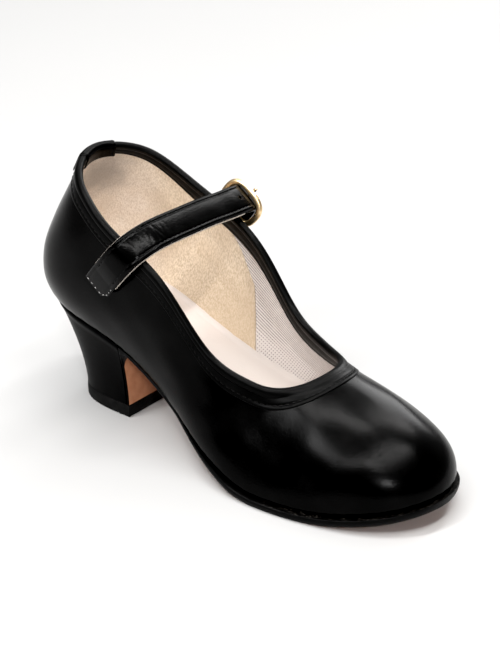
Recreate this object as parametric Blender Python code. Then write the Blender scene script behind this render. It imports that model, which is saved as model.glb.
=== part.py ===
"""A girl's flamenco shoe for the left foot, standing on its heel and the ball of its sole.

The toe points to +X, the outer (lateral) side to +Y and the floor is z = 0.  The shoe is laid out
from the back of its heel seat (x = 0) on its long axis (y = 0), and an empty then carries it so
that the part's origin is on the floor, under the middle of the whole shoe.
"""

import math
from collections import namedtuple

import bmesh
import bpy
import numpy as np

# Driving sizes, in metres
LENGTH = 0.192            # heel seat to toe tip along the floor, at the edge where upper meets sole
BALL_HALF = 0.0368        # half the breadth at the ball, at the same edge
BACK_HEIGHT = 0.1063      # topline at the back seam, above the floor
HEEL_HEIGHT = 0.0440      # heel seat's back edge, above the floor
TOE_SPRING = 0.0080       # toe tip of the sole, above the floor
TOE_SWING = 0.0004        # toe tip, inward of the long axis
SWING_START = 0.6         # share of LENGTH where that swing begins
ARCH_CUT = 0.0015         # extra hollow of the inner waist
ARCH_REACH = 0.1          # that hollow's length each way, as a share of LENGTH
GAP = 0.0003              # between pieces that touch

# Upper
WALL = 0.0016
ROUND_COUNT = 72          # sections round the shoe
END_CROWDING = 0.3        # how much closer the sections are at toe and heel
RISE_COUNT = 12           # bands from the sole to the topline
TURN_STEP = 0.002         # of a turn, for the direction of an edge
TOP_RISES = np.linspace(1, 0.55, 46)   # places on the wall's upper part, where leather folds over it

# Sole
SOLE_THICKNESS = 0.0032
SHANK_THICKNESS = 0.0022
THICKENING = (0.31, 0.57)  # from the one thickness to the other between these shares of LENGTH
LEDGE = 0.0030            # sole beyond the upper at the forepart
LEDGE_GROWTH = (0.42, 0.62)  # from none to the whole ledge between these shares of LENGTH
EDGE_LEAN = 0.0005        # underside's edge, inward of the top's
FLAP_THICKNESS = 0.0020   # sole leather over the heel's breast
FLAP_FILLET = 0.0032
FOLD_STEPS = 6            # facets of that fillet
FOLD_PITCH = 0.0006       # spacing of the back points that face them
FLAP_SHARES = (0.35, 0.7, 1.0)   # sections down the flap
SOLE_STATIONS = 42
INSOLE_THICKNESS = 0.0022

# Heel
BREAST_X = 0.0465         # flat front of the heel
HEEL_INSET = 0.0002       # seat's edge, inward of the upper's
LIFT_HEIGHT = 0.0058
LIFT_LENGTH_SHARE = 0.68  # the heel's foot, as a share of the seat's length and breadth
LIFT_BREADTH_SHARE = 0.82
HEEL_FLARE = 1.6          # how late the heel widens on its way up to the seat
HEEL_LEVELS = 8
HEEL_COLUMNS = 25

# Topline binding and back tab
BINDING = 0.0008
BINDING_GAP = 0.00035
BINDING_OUTSIDE = 0.0068
BINDING_INSIDE = 0.0085
BACK_TAB = 0.0010
BACK_TAB_OUTSIDE = 0.0072
BACK_TAB_INSIDE = 0.0042
BACK_TAB_REACH = 2        # sections of the upper on each side of the back seam
BEAD_ANGLES = (45, 90, 135)      # degrees over the topline, from the outside in

# Strap and buckle
STRAP_WIDTH = 0.0130
STRAP_THICKNESS = 0.0024
STRAP_PITCH = math.radians(37)   # the strap's breadth falls this much from back edge to front edge
STRAP_BEVEL = 0.0005
STRAP_STATIONS = 48
FRAME_LENGTH = 0.0202            # across the strap, over the wire
FRAME_WIDTH = 0.0152             # along the strap, over the wire
FRAME_WIRE = 0.00125             # wire's radius
FRAME_TURN = math.radians(-103)  # the frame's fall from level, about the strap's breadth
FRAME_RIM = (0.0665, 0.0379, 0.0882)
FRAME_STEP = 12                  # degrees round the frame
WIRE_STEP = 45                   # degrees round the wire
RIM_POWER = 0.75                 # how full the frame's curve is, on the rim and on the hinge side
HINGE_POWER = 0.60
PRONG_RADIUS = 0.0008
PRONG_TAPER = 0.8                # tip's radius as a share of the root's
PRONG_ROOT = -0.0005             # root out of the frame's face
PRONG_OVERHANG = 0.0020          # tip past the middle of the rim's wire
PRONG_HOLE = 0.0016
ROD_SIDES = 10
TAB_WIDTH = 0.0100
TAB_THICKNESS = 0.0018
TAB_BEVEL = 0.0004
TAB_STATIONS = 20
HOOK_ANGLES = (50, 80, 110)      # degrees round the hinge side, behind it

# The part's origin, from the back of the heel seat
ORIGIN = (0.0946, 0.0007, 0.0)

# One row for each section of the upper, from the toe back to the heel, for the inner side; the
# outer side mirrors it.  foot: the edge on the sole.  top: the topline.  low, high: how far the
# wall runs outward and upward as it leaves the sole and comes to the topline.  dip: how much lower
# the outer topline is.  x is a share of LENGTH, half of BALL_HALF, the rest of BACK_HEIGHT.
Section = namedtuple("Section", "foot_x foot_half top_x top_half top_z low_out low_up high_out high_up dip")
SECTIONS = {
    "toe":        Section(1.000, 0.000, 0.719, 0.000, 0.418, 0.036, 0.170, 0.212, -0.046, 0.000),
    "toe_round":  Section(0.969, 0.432, 0.711, 0.223, 0.410, 0.044, 0.175, 0.176, -0.058, 0.000),
    "toe_side":   Section(0.885, 0.750, 0.688, 0.424, 0.394, 0.046, 0.166, 0.082, -0.074, 0.000),
    "ball_front": Section(0.771, 0.938, 0.648, 0.565, 0.381, 0.019, 0.113, 0.024, -0.085, 0.000),
    "ball":       Section(0.635, 1.000, 0.589, 0.658, 0.401, 0.014, 0.103, 0.009, -0.103, 0.004),
    "ball_back":  Section(0.521, 0.910, 0.510, 0.745, 0.480, 0.028, 0.122, 0.009, -0.132, 0.012),
    "waist":      Section(0.396, 0.745, 0.401, 0.804, 0.702, 0.056, 0.169, 0.019, -0.198, 0.026),
    "breast":     Section(0.260, 0.647, 0.263, 0.777, 0.828, 0.085, 0.179, 0.038, -0.207, 0.012),
    "seat":       Section(0.130, 0.635, 0.172, 0.668, 0.916, 0.106, 0.169, 0.066, -0.207, 0.002),
    "seat_round": Section(0.028, 0.439, 0.110, 0.446, 0.975, 0.118, 0.162, 0.088, -0.207, 0.000),
    "heel":       Section(-0.009, 0.000, 0.077, 0.000, 1.000, 0.118, 0.160, 0.088, -0.207, 0.000),
}

# Underside of the sole, from the heel to the toe: x as a share of LENGTH, height as a share of
# HEEL_HEIGHT behind the tread and of TOE_SPRING before it
Station = namedtuple("Station", "x height")
SHANK_LINE = (Station(-0.03, 0.950), Station(0.04, 0.923), Station(0.115, 0.877), Station(0.188, 0.814),
              Station(0.25, 0.732), Station(0.333, 0.564), Station(0.417, 0.377), Station(0.50, 0.209),
              Station(0.573, 0.091), Station(0.63, 0.023), Station(0.677, 0.0))
SPRING_LINE = (Station(0.76, 0.0), Station(0.823, 0.085), Station(0.885, 0.310), Station(0.948, 0.635),
               Station(1.0, 0.98), Station(1.04, 1.25))
TREAD = (0.668, 0.770)    # flat on the floor between these shares of LENGTH

# Middle of the strap's thickness, from its sewn end on the inner quarter to the buckle
Point = namedtuple("Point", "x y z")
STRAP_ROUTE = (
    Point(0.0450, -0.0327, 0.0645), Point(0.0515, -0.0344, 0.0718), Point(0.0578, -0.0350, 0.0790),
    Point(0.0628, -0.0327, 0.0853), Point(0.0650, -0.0262, 0.0876), Point(0.0653, -0.0150, 0.0868),
    Point(0.0653, 0.0000, 0.0862), Point(0.0655, 0.0130, 0.0867), Point(0.0658, 0.0230, 0.0872))
# The same, through the buckle to the strap's tip: along the frame from its rim, and out of its face
Pass = namedtuple("Pass", "along out")
STRAP_PASSES = (Pass(0.0031, -0.0080), Pass(0.0030, -0.0042), Pass(0.0038, -0.0006), Pass(0.0055, 0.0020),
                Pass(0.0084, 0.0029), Pass(0.0125, 0.0030), Pass(0.0165, 0.0029), Pass(0.0200, 0.0026))
# Middle of the buckle tab's thickness, from the quarter to the hinge side of the frame
TAB_ROUTE = (
    Point(0.0505, 0.0325, 0.0600), Point(0.0534, 0.0327, 0.0645), Point(0.0557, 0.0329, 0.0688),
    Point(0.0574, 0.0330, 0.0729))

SHARP_ANGLE = math.radians(40)   # edges that turn more than this are drawn sharp
UP = np.array((0.0, 0.0, 1.0))
OUTWARD = np.array((0.0, 1.0, 0.0))


def spline(knots, rows, at, closed=False):
    """Smooth curve through rows at the knots, read at each place in at."""
    knots = np.asarray(knots, float)
    rows = np.asarray(rows, float)
    last = len(knots) - 1
    step = np.diff(knots)
    slope = np.diff(rows, axis=0) / step.reshape((-1,) + (1,) * (rows.ndim - 1))
    matrix = np.zeros((last + 1, last + 1))
    bend = np.zeros(rows.shape)
    for i in range(1, last):
        matrix[i, i - 1:i + 2] = step[i - 1], 2 * (step[i - 1] + step[i]), step[i]
        bend[i] = 6 * (slope[i] - slope[i - 1])
    if closed:
        matrix[0, 0] = 1
        matrix[0, last] = -1
        matrix[last, [0, 1, last - 1]] = 2 * (step[0] + step[-1]), step[0], step[-1]
        bend[last] = 6 * (slope[0] - slope[-1])
    else:
        matrix[0, 0] = 1
        matrix[last, last] = 1
    bend = np.linalg.solve(matrix, bend)
    at = np.atleast_1d(np.asarray(at, float))
    i = np.clip(np.searchsorted(knots, at, side="right") - 1, 0, last - 1)
    shape = (-1,) + (1,) * (rows.ndim - 1)
    before = ((knots[i + 1] - at) / step[i]).reshape(shape)
    after = 1 - before
    square = (step[i] ** 2).reshape(shape)
    straight = before * rows[i] + after * rows[i + 1]
    return straight + ((before ** 3 - before) * bend[i] + (after ** 3 - after) * bend[i + 1]) * square / 6


def sole_bottom(x):
    """Height of the sole's underside at x."""
    line = [(s.x * LENGTH, s.height * HEEL_HEIGHT) for s in SHANK_LINE]
    line += [(s.x * LENGTH, s.height * TOE_SPRING) for s in SPRING_LINE]
    line = np.array(line)
    x = np.clip(x, line[0, 0], line[-1, 0])
    height = np.maximum(spline(line[:, 0], line[:, 1], x), 0)
    on_floor = (x > TREAD[0] * LENGTH) & (x < TREAD[1] * LENGTH)
    return np.where(on_floor, 0, height)


def sole_top(x):
    """Height of the surface that the upper, insole and heel seat lie on."""
    thickness = np.interp(np.asarray(x) / LENGTH, THICKENING, (SHANK_THICKNESS, SOLE_THICKNESS))
    return sole_bottom(x) + thickness


def round_turns():
    """Turns round the shoe, closer together at the toe and the heel."""
    even = np.arange(ROUND_COUNT) / ROUND_COUNT
    return even - END_CROWDING * np.sin(4 * math.pi * even) / (4 * math.pi)


def section_loop(turns):
    """The section table's rows at turns round the shoe: 0 toe, 0.25 inner side, 0.5 heel."""
    half = np.array(list(SECTIONS.values()))
    half[:, [0, 2]] *= LENGTH
    half[:, [1, 3]] *= BALL_HALF
    half[:, 4:] *= BACK_HEIGHT
    inner = half * np.array((1, -1, 1, -1, 1, 1, 1, 1, 1, 0))
    outer = half[::-1][1:].copy()
    outer[:, 4] -= outer[:, 9]
    waist = SECTIONS["waist"].foot_x * LENGTH
    inner[:, 1] += ARCH_CUT * np.exp(-((inner[:, 0] - waist) / (ARCH_REACH * LENGTH)) ** 2)
    inner[[0, -1], 1] = 0
    reach = np.cumsum(np.hypot(np.diff(half[:, 0]), np.diff(half[:, 1])))
    reach = np.r_[0, reach] / reach[-1] / 2
    knots = np.r_[reach, 1 - reach[::-1][1:]]
    return spline(knots, np.vstack((inner, outer)), np.mod(turns, 1), closed=True)


def swing(points):
    """Curve the forepart towards the inner side."""
    share = np.clip((points[:, 0] / LENGTH - SWING_START) / (1 - SWING_START), 0, None)
    points[:, 1] -= TOE_SWING * share ** 2
    return points


def outward(turns, x, y):
    """Level unit vectors out of the shoe, square to the edge in columns x and y of the table."""
    along = section_loop(turns + TURN_STEP) - section_loop(turns - TURN_STEP)
    out = np.column_stack((-along[:, y], along[:, x], np.zeros(len(turns))))
    return out / np.linalg.norm(out, axis=1)[:, None]


def foot_edge(turns):
    """The edge where the upper meets the sole, with its outward directions."""
    rows = section_loop(turns)
    edge = swing(np.column_stack((rows[:, 0], rows[:, 1], sole_top(rows[:, 0]) + GAP)))
    return edge, outward(turns, 0, 1)


def upper_wall(turns, rises):
    """Points on the outside of the upper: one row for each rise, one column for each turn."""
    rows = section_loop(turns)
    foot, foot_out = foot_edge(turns)
    top = swing(rows[:, 2:5].copy())
    low = foot + foot_out * rows[:, 5:6] + UP * rows[:, 6:7]
    high = top + outward(turns, 2, 3) * rows[:, 7:8] + UP * rows[:, 8:9]
    r = np.asarray(rises, float)[:, None, None]
    return (1 - r) ** 3 * foot + 3 * (1 - r) ** 2 * r * low + 3 * (1 - r) * r ** 2 * high + r ** 3 * top


def below_topline(turns, distances):
    """Points and outward normals on the upper, at distances down from the topline."""
    wall = upper_wall(turns, TOP_RISES)
    run = np.cumsum(np.linalg.norm(np.diff(wall, axis=0), axis=2), axis=0)
    run = np.vstack((np.zeros(len(turns)), run))
    around = upper_wall(turns + TURN_STEP, TOP_RISES) - upper_wall(turns - TURN_STEP, TOP_RISES)
    normals = np.cross(around, np.gradient(wall, axis=0))
    normals /= np.linalg.norm(normals, axis=2)[:, :, None]
    points = np.empty((len(distances), len(turns), 3))
    outs = np.empty_like(points)
    for k in range(len(turns)):
        for c in range(3):
            points[:, k, c] = np.interp(distances, run[:, k], wall[:, k, c])
            outs[:, k, c] = np.interp(distances, run[:, k], normals[:, k, c])
    return points, outs


def new_object(name, bm, slot):
    """Link a finished mesh as a named object with its material."""
    bmesh.ops.recalc_face_normals(bm, faces=bm.faces)
    bmesh.ops.triangulate(bm, faces=bm.faces)
    mesh = bpy.data.meshes.new(name)
    bm.to_mesh(mesh)
    bm.free()
    mesh.shade_smooth()
    mesh.set_sharp_from_angle(angle=SHARP_ANGLE)
    mesh.materials.append(MATERIALS[slot])
    piece = bpy.data.objects.new(name, mesh)
    bpy.context.collection.objects.link(piece)
    piece.parent = shoe
    return piece


def add_rings(bm, rings):
    """Add rings of points to a mesh, as rows of vertices."""
    return [[bm.verts.new(point) for point in ring] for ring in rings]


def skin(bm, rings, ring_closed=True, round_closed=False):
    """Join each ring of vertices to the next with quads."""
    pairs = list(zip(rings, rings[1:]))
    if round_closed:
        pairs.append((rings[-1], rings[0]))
    for ring, other in pairs:
        count = len(ring) if ring_closed else len(ring) - 1
        for i in range(count):
            j = (i + 1) % len(ring)
            bm.faces.new((ring[i], ring[j], other[j], other[i]))


def swept(name, rings, slot):
    """A solid through a row of closed rings, with flat ends."""
    bm = bmesh.new()
    rows = add_rings(bm, rings)
    skin(bm, rows)
    bm.faces.new(rows[0])
    bm.faces.new(rows[-1])
    return new_object(name, bm, slot)


def slab(name, inner, outer, slot):
    """A solid between two edges that meet at the toe, each row holding its top and bottom points.

    inner and outer have the same number of rows; the first rows are the same two points, and so
    are the last ones when the slab closes at the heel too.
    """
    bm = bmesh.new()
    near = add_rings(bm, inner)
    shut = np.allclose(inner[-1], outer[-1])
    far = [near[0]] + add_rings(bm, outer[1:-1] if shut else outer[1:])
    if shut:
        far.append(near[-1])
    for i in range(len(near) - 1):
        for level in (0, 1):
            corners = [near[i][level], near[i + 1][level], far[i + 1][level], far[i][level]]
            bm.faces.new(list(dict.fromkeys(corners)))
        for edge in (near, far):
            bm.faces.new((edge[i][0], edge[i + 1][0], edge[i + 1][1], edge[i][1]))
    if not shut:
        bm.faces.new((near[-1][0], far[-1][0], far[-1][1], near[-1][1]))
    return new_object(name, bm, slot)


def material(name, colour, roughness, metallic=0.0):
    """A Principled material in the part's own colour."""
    made = bpy.data.materials.new(name)
    made.use_nodes = True
    shader = made.node_tree.nodes["Principled BSDF"]
    shader.inputs["Base Color"].default_value = (*colour, 1)
    shader.inputs["Roughness"].default_value = roughness
    shader.inputs["Metallic"].default_value = metallic
    made.diffuse_color = (*colour, 1)
    return made


for existing in list(bpy.data.objects):
    bpy.data.objects.remove(existing, do_unlink=True)

MATERIALS = {
    "black_leather": material("black_leather", (0.012, 0.012, 0.013), 0.32),
    "sole_leather": material("sole_leather", (0.27, 0.11, 0.05), 0.6),
    "heel_cover": material("heel_cover", (0.010, 0.010, 0.011), 0.4),
    "black_rubber": material("black_rubber", (0.015, 0.015, 0.015), 0.8),
    "sock_leather": material("sock_leather", (0.72, 0.58, 0.47), 0.7),
    "gold_metal": material("gold_metal", (0.75, 0.50, 0.22), 0.25, 1.0),
}
shoe = bpy.data.objects.new("shoe", None)
shoe.location = [-value for value in ORIGIN]
bpy.context.collection.objects.link(shoe)


def make_upper():
    """One leather wall round the last, open at the topline and underneath."""
    turns = round_turns()
    rises = np.linspace(0, 1, RISE_COUNT + 1)
    bm = bmesh.new()
    skin(bm, add_rings(bm, upper_wall(turns, rises)))
    upper = new_object("upper", bm, "black_leather")
    if upper.data.polygons[0].normal.x < 0:
        upper.data.flip_normals()
    wall = upper.modifiers.new("wall", "SOLIDIFY")
    wall.thickness = WALL
    wall.offset = -1
    return upper


def make_binding():
    """A leather edge folded over the topline, with a round bead on top."""
    turns = round_turns()
    near, far = BINDING_GAP, BINDING_GAP + BINDING
    rings = folded_strip(turns, BINDING_OUTSIDE, BINDING_INSIDE, near, far)
    bm = bmesh.new()
    skin(bm, add_rings(bm, rings), round_closed=True)
    return new_object("topline_binding", bm, "black_leather")


def folded_strip(turns, outside, inside, near, far):
    """Closed sections of a strip folded over the topline, near and far from the wall's faces."""
    out_points, out_normals = below_topline(turns, (0, outside / 2, outside))
    in_points, in_normals = below_topline(turns, (0, inside / 2, inside))
    crest = out_points[0] - out_normals[0] * WALL / 2
    rise = out_points[0] - out_points[1]
    rise /= np.linalg.norm(rise, axis=1)[:, None]

    def over(degrees, radius):
        angle = math.radians(degrees)
        return crest + (out_normals[0] * math.cos(angle) + rise * math.sin(angle)) * radius

    section = [out_points[k] + out_normals[k] * far for k in (2, 1, 0)]
    section += [over(angle, WALL / 2 + far) for angle in BEAD_ANGLES]
    section += [in_points[k] - in_normals[k] * (WALL + far) for k in (0, 1, 2)]
    section += [in_points[k] - in_normals[k] * (WALL + near) for k in (2, 1, 0)]
    section += [over(angle, WALL / 2 + near) for angle in reversed(BEAD_ANGLES)]
    section += [out_points[k] + out_normals[k] * near for k in (0, 1, 2)]
    return np.stack(section, axis=1)


def make_back_tab():
    """A short leather tab folded over the binding at the back seam."""
    seam = ROUND_COUNT // 2
    turns = round_turns()[seam - BACK_TAB_REACH:seam + BACK_TAB_REACH + 1]
    near = 2 * BINDING_GAP + BINDING
    rings = folded_strip(turns, BACK_TAB_OUTSIDE, BACK_TAB_INSIDE, near, near + BACK_TAB)
    return swept("back_tab", rings, "black_leather")


def make_insole():
    """The sock that covers the foot bed, a little inside the upper's wall."""
    turns = round_turns()[:ROUND_COUNT // 2 + 1]
    edges = []
    for side in (turns, 1 - turns):
        edge, out = foot_edge(side)
        edge = edge - out * (WALL + 2 * GAP)
        low = sole_top(edge[:, 0]) + GAP
        bottom = np.column_stack((edge[:, :2], low))
        edges.append(np.stack((bottom + UP * INSOLE_THICKNESS, bottom), axis=1))
    edges[1][[0, -1]] = edges[0][[0, -1]]
    return slab("insole", edges[0], edges[1], "sock_leather")


def heel_half(level):
    """Half breadth of the heel's flat front at a level: 0 at its foot, 1 at the seat."""
    turn = breast_turn()
    edge, out = foot_edge(np.array([1 - turn]))
    seat = (edge - out * HEEL_INSET)[0, 1]
    share = LIFT_BREADTH_SHARE + (1 - LIFT_BREADTH_SHARE) * level ** HEEL_FLARE
    return seat * share


def breast_turn():
    """The turn, on the inner side, where the upper's edge passes the heel's front."""
    turns = np.linspace(0.2, 0.5, 3000)
    return float(np.interp(-BREAST_X, -section_loop(turns)[:, 0], turns))


def make_outsole():
    """Leather sole, bent through the shank and turned down over the heel's front as its flap."""
    front = BREAST_X + GAP
    face = front + FLAP_THICKNESS
    turns = np.linspace(0, breast_turn(), SOLE_STATIONS)[:-2]
    edge, out = foot_edge(turns)
    ledge = np.interp(edge[:, 0] / LENGTH, LEDGE_GROWTH, (-HEEL_INSET, LEDGE))[:, None]
    sides = []
    for side in (turns, 1 - turns):
        edge, out = foot_edge(side)
        top = edge + out * ledge
        bottom = edge + out * (ledge - EDGE_LEAN)
        top[:, 2] = sole_top(top[:, 0])
        bottom[:, 2] = sole_bottom(bottom[:, 0])
        sides.append(np.stack((top, bottom), axis=1))
    sides[1][0] = sides[0][0]
    fold = fold_line(front, face)
    seat = sole_top(BREAST_X)[0]
    flap = []
    for (back_x, back_z), (face_x, face_z) in fold:
        level = np.clip((np.array((back_z, face_z)) - LIFT_HEIGHT) / (seat - LIFT_HEIGHT), 0, 1)
        back_half, face_half = heel_half(level)
        flap.append(((back_x, back_half, back_z), (face_x, face_half, face_z)))
    flap = np.array(flap)
    inner = np.vstack((sides[0], flap * (1, -1, 1)))
    outer = np.vstack((sides[1], flap))
    return slab("outsole", inner, outer, "sole_leather")


def fold_line(front, face):
    """Pairs of back and face points, in x and z, from the shank's end down the heel's front."""
    slope = np.diff(sole_bottom(np.array((face, face + FOLD_PITCH))))[0] / FOLD_PITCH
    ahead = np.array((1.0, slope)) / math.hypot(1, slope)
    down = np.array((0.0, -1.0))
    spread = math.acos(float(ahead @ down))
    corner = np.array((face, sole_bottom(face)[0]))
    inner_corner = np.array((front, sole_top(front)[0]))
    reach = FLAP_FILLET / math.tan(spread / 2)
    middle = corner + (ahead + down) / np.linalg.norm(ahead + down) * FLAP_FILLET / math.sin(spread / 2)
    start = corner + ahead * reach - middle
    turn = math.pi - spread
    pairs = []
    for k in range(FOLD_STEPS + 1):
        angle = turn * k / FOLD_STEPS
        spun = np.array((start[0] * math.cos(angle) - start[1] * math.sin(angle),
                         start[0] * math.sin(angle) + start[1] * math.cos(angle)))
        from_corner = k - FOLD_STEPS // 2
        along = ahead if from_corner < 0 else down
        pairs.append((inner_corner + along * FOLD_PITCH * abs(from_corner), middle + spun))
    foot = LIFT_HEIGHT + GAP
    low = pairs[-1][1][1]
    for share in FLAP_SHARES:
        height = low + (foot - low) * share
        pairs.append((np.array((front, height)), np.array((face, height))))
    return pairs


def heel_ring(level):
    """Outline of the heel at a level, from its inner front corner round the back."""
    turn = breast_turn()
    turns = np.linspace(turn, 1 - turn, HEEL_COLUMNS)
    edge, out = foot_edge(turns)
    seat = edge - out * HEEL_INSET
    seat[:, 0] = np.minimum(seat[:, 0], BREAST_X)
    seat[[0, -1], 0] = BREAST_X
    grown = level ** HEEL_FLARE
    length = LIFT_LENGTH_SHARE + (1 - LIFT_LENGTH_SHARE) * grown
    breadth = LIFT_BREADTH_SHARE + (1 - LIFT_BREADTH_SHARE) * grown
    ring = seat.copy()
    ring[:, 0] = BREAST_X - (BREAST_X - seat[:, 0]) * length
    ring[:, 1] = seat[:, 1] * breadth
    top = sole_top(seat[:, 0])
    foot = LIFT_HEIGHT + GAP
    ring[:, 2] = foot + (top - foot) * level
    return ring


def ladder_cap(bm, ring):
    """Close a ring with strips between its two sides, so that the cap bends only along the shoe."""
    low, high = 0, len(ring) - 1
    while high - low > 2:
        bm.faces.new((ring[low], ring[low + 1], ring[high - 1], ring[high]))
        low += 1
        high -= 1
    bm.faces.new((ring[low], ring[low + 1], ring[high]))


def make_heel():
    """Covered heel block: flat in front, hollow behind, its seat following the foot bed."""
    bm = bmesh.new()
    rows = add_rings(bm, [heel_ring(level) for level in np.linspace(0, 1, HEEL_LEVELS)])
    skin(bm, rows)
    ladder_cap(bm, rows[0])
    ladder_cap(bm, rows[-1])
    return new_object("heel", bm, "heel_cover")


def make_top_lift():
    """Rubber lift under the heel and the flap's end."""
    ring = heel_ring(0.0)
    corner = ring[[-1, 0]].copy()
    corner[:, 0] = BREAST_X + GAP + FLAP_THICKNESS
    ring = np.vstack((ring, corner))
    rings = []
    for height in (0.0, LIFT_HEIGHT):
        level = ring.copy()
        level[:, 2] = height
        rings.append(level)
    return swept("heel_top_lift", rings, "black_rubber")


STRAP_ACROSS = np.array((math.cos(STRAP_PITCH), 0.0, -math.sin(STRAP_PITCH)))
STRAP_FACE = np.array((math.sin(STRAP_PITCH), 0.0, math.cos(STRAP_PITCH)))
FRAME_ALONG = OUTWARD * math.cos(FRAME_TURN) + STRAP_FACE * math.sin(FRAME_TURN)
FRAME_FACE = OUTWARD * -math.sin(FRAME_TURN) + STRAP_FACE * math.cos(FRAME_TURN)


def band_rings(route, stations, width, thickness, bevel):
    """Sections of a leather band along a route, its breadth always across the strap."""
    route = np.array(route)
    run = np.r_[0, np.cumsum(np.linalg.norm(np.diff(route, axis=0), axis=1))]
    places = np.linspace(0, run[-1], stations)
    middle = spline(run, route, places)
    along = np.gradient(middle, axis=0)
    face = np.cross(STRAP_ACROSS, along)
    face /= np.linalg.norm(face, axis=1)[:, None]
    half, deep = width / 2, thickness / 2
    corners = ((half - bevel, deep), (half, deep - bevel), (half, bevel - deep), (half - bevel, -deep),
               (bevel - half, -deep), (-half, bevel - deep), (-half, deep - bevel), (bevel - half, deep))
    return np.stack([middle + STRAP_ACROSS * a + face * b for a, b in corners], axis=1)


def make_strap():
    """Instep strap from the inner quarter through the buckle, punched for the prong."""
    route = STRAP_ROUTE + tuple(frame_point(0, place.along, place.out) for place in STRAP_PASSES)
    rings = band_rings(route, STRAP_STATIONS, STRAP_WIDTH, STRAP_THICKNESS, STRAP_BEVEL)
    strap = swept("strap", rings, "black_leather")
    low, high = prong_ends()
    bm = bmesh.new()
    skin_rod(bm, low, high, PRONG_HOLE, PRONG_HOLE)
    punch = new_object("prong_hole", bm, "black_leather")
    punch.hide_render = True
    punch.display_type = "WIRE"
    hole = strap.modifiers.new("prong hole", "BOOLEAN")
    hole.operation = "DIFFERENCE"
    hole.solver = "EXACT"
    hole.object = punch
    return strap


def frame_point(across, along, out):
    """A place on the buckle, from the middle of its rim."""
    return np.array(FRAME_RIM) + STRAP_ACROSS * across + FRAME_ALONG * along + FRAME_FACE * out


def make_buckle_frame():
    """Round gold wire bent to a D: the curved rim lies over the strap, the straight side is the hinge."""
    half = FRAME_LENGTH / 2 - FRAME_WIRE
    deep = FRAME_WIDTH - 2 * FRAME_WIRE
    path = []
    for angle in np.radians(np.arange(0, 360, FRAME_STEP)):
        power = RIM_POWER if math.sin(angle) < 0 else HINGE_POWER
        across = math.copysign(abs(math.cos(angle)) ** power, math.cos(angle)) * half
        along = deep / 2 + math.copysign(abs(math.sin(angle)) ** power, math.sin(angle)) * deep / 2
        path.append(frame_point(across, along, 0))
    path = np.array(path)
    bm = bmesh.new()
    rings = []
    for before, here, after in zip(np.roll(path, 1, 0), path, np.roll(path, -1, 0)):
        side = np.cross(after - before, FRAME_FACE)
        side /= np.linalg.norm(side)
        spin = np.radians(np.arange(0, 360, WIRE_STEP))
        rings.append([here + (side * math.cos(a) + FRAME_FACE * math.sin(a)) * FRAME_WIRE for a in spin])
    skin(bm, add_rings(bm, rings), round_closed=True)
    return new_object("buckle_frame", bm, "gold_metal")


def prong_ends():
    """The prong's two ends: just clear of the hinge side, and over the rim."""
    hinge = FRAME_WIDTH - 2 * FRAME_WIRE
    low = frame_point(0, hinge - FRAME_WIRE - PRONG_RADIUS - GAP, PRONG_ROOT)
    high = frame_point(0, -PRONG_OVERHANG, FRAME_WIRE + PRONG_RADIUS + GAP)
    return low, high


def skin_rod(bm, low, high, low_radius, high_radius):
    """A straight round rod between two points."""
    axis = (high - low) / np.linalg.norm(high - low)
    side = np.cross(axis, STRAP_ACROSS)
    side /= np.linalg.norm(side)
    other = np.cross(axis, side)
    spin = np.arange(ROD_SIDES) * 2 * math.pi / ROD_SIDES
    rings = []
    for middle, radius in ((low, low_radius), (high, high_radius)):
        rings.append([middle + (side * math.cos(a) + other * math.sin(a)) * radius for a in spin])
    rows = add_rings(bm, rings)
    skin(bm, rows)
    bm.faces.new(rows[0])
    bm.faces.new(rows[1])


def make_buckle_prong():
    """Gold prong through the strap's hole, its tip lying on the rim."""
    low, high = prong_ends()
    bm = bmesh.new()
    skin_rod(bm, low, high, PRONG_RADIUS, PRONG_RADIUS * PRONG_TAPER)
    return new_object("buckle_prong", bm, "gold_metal")


def make_buckle_tab():
    """Short leather tab, sewn to the outer quarter and hooked behind the frame's hinge side."""
    hinge = FRAME_WIDTH - 2 * FRAME_WIRE
    reach = FRAME_WIRE + GAP + TAB_THICKNESS / 2
    hook = tuple(frame_point(0, hinge + reach * math.cos(a), -reach * math.sin(a))
                 for a in np.radians(HOOK_ANGLES))
    rings = band_rings(TAB_ROUTE + hook, TAB_STATIONS, TAB_WIDTH, TAB_THICKNESS, TAB_BEVEL)
    return swept("buckle_tab", rings, "black_leather")


make_outsole()
make_heel()
make_top_lift()
make_upper()
make_binding()
make_back_tab()
make_insole()
make_strap()
make_buckle_frame()
make_buckle_prong()
make_buckle_tab()
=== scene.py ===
"""A girl's black leather flamenco shoe for the left foot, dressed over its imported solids.

The toe points to +X, the outer side to +Y and the floor is z = 0.  Every piece is laid out in
metres from the back of the heel seat, and moved to the part's own origin as its mesh is made.
"""

import math

import bmesh
import bpy
import numpy as np
from mathutils import Matrix, Vector


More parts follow.
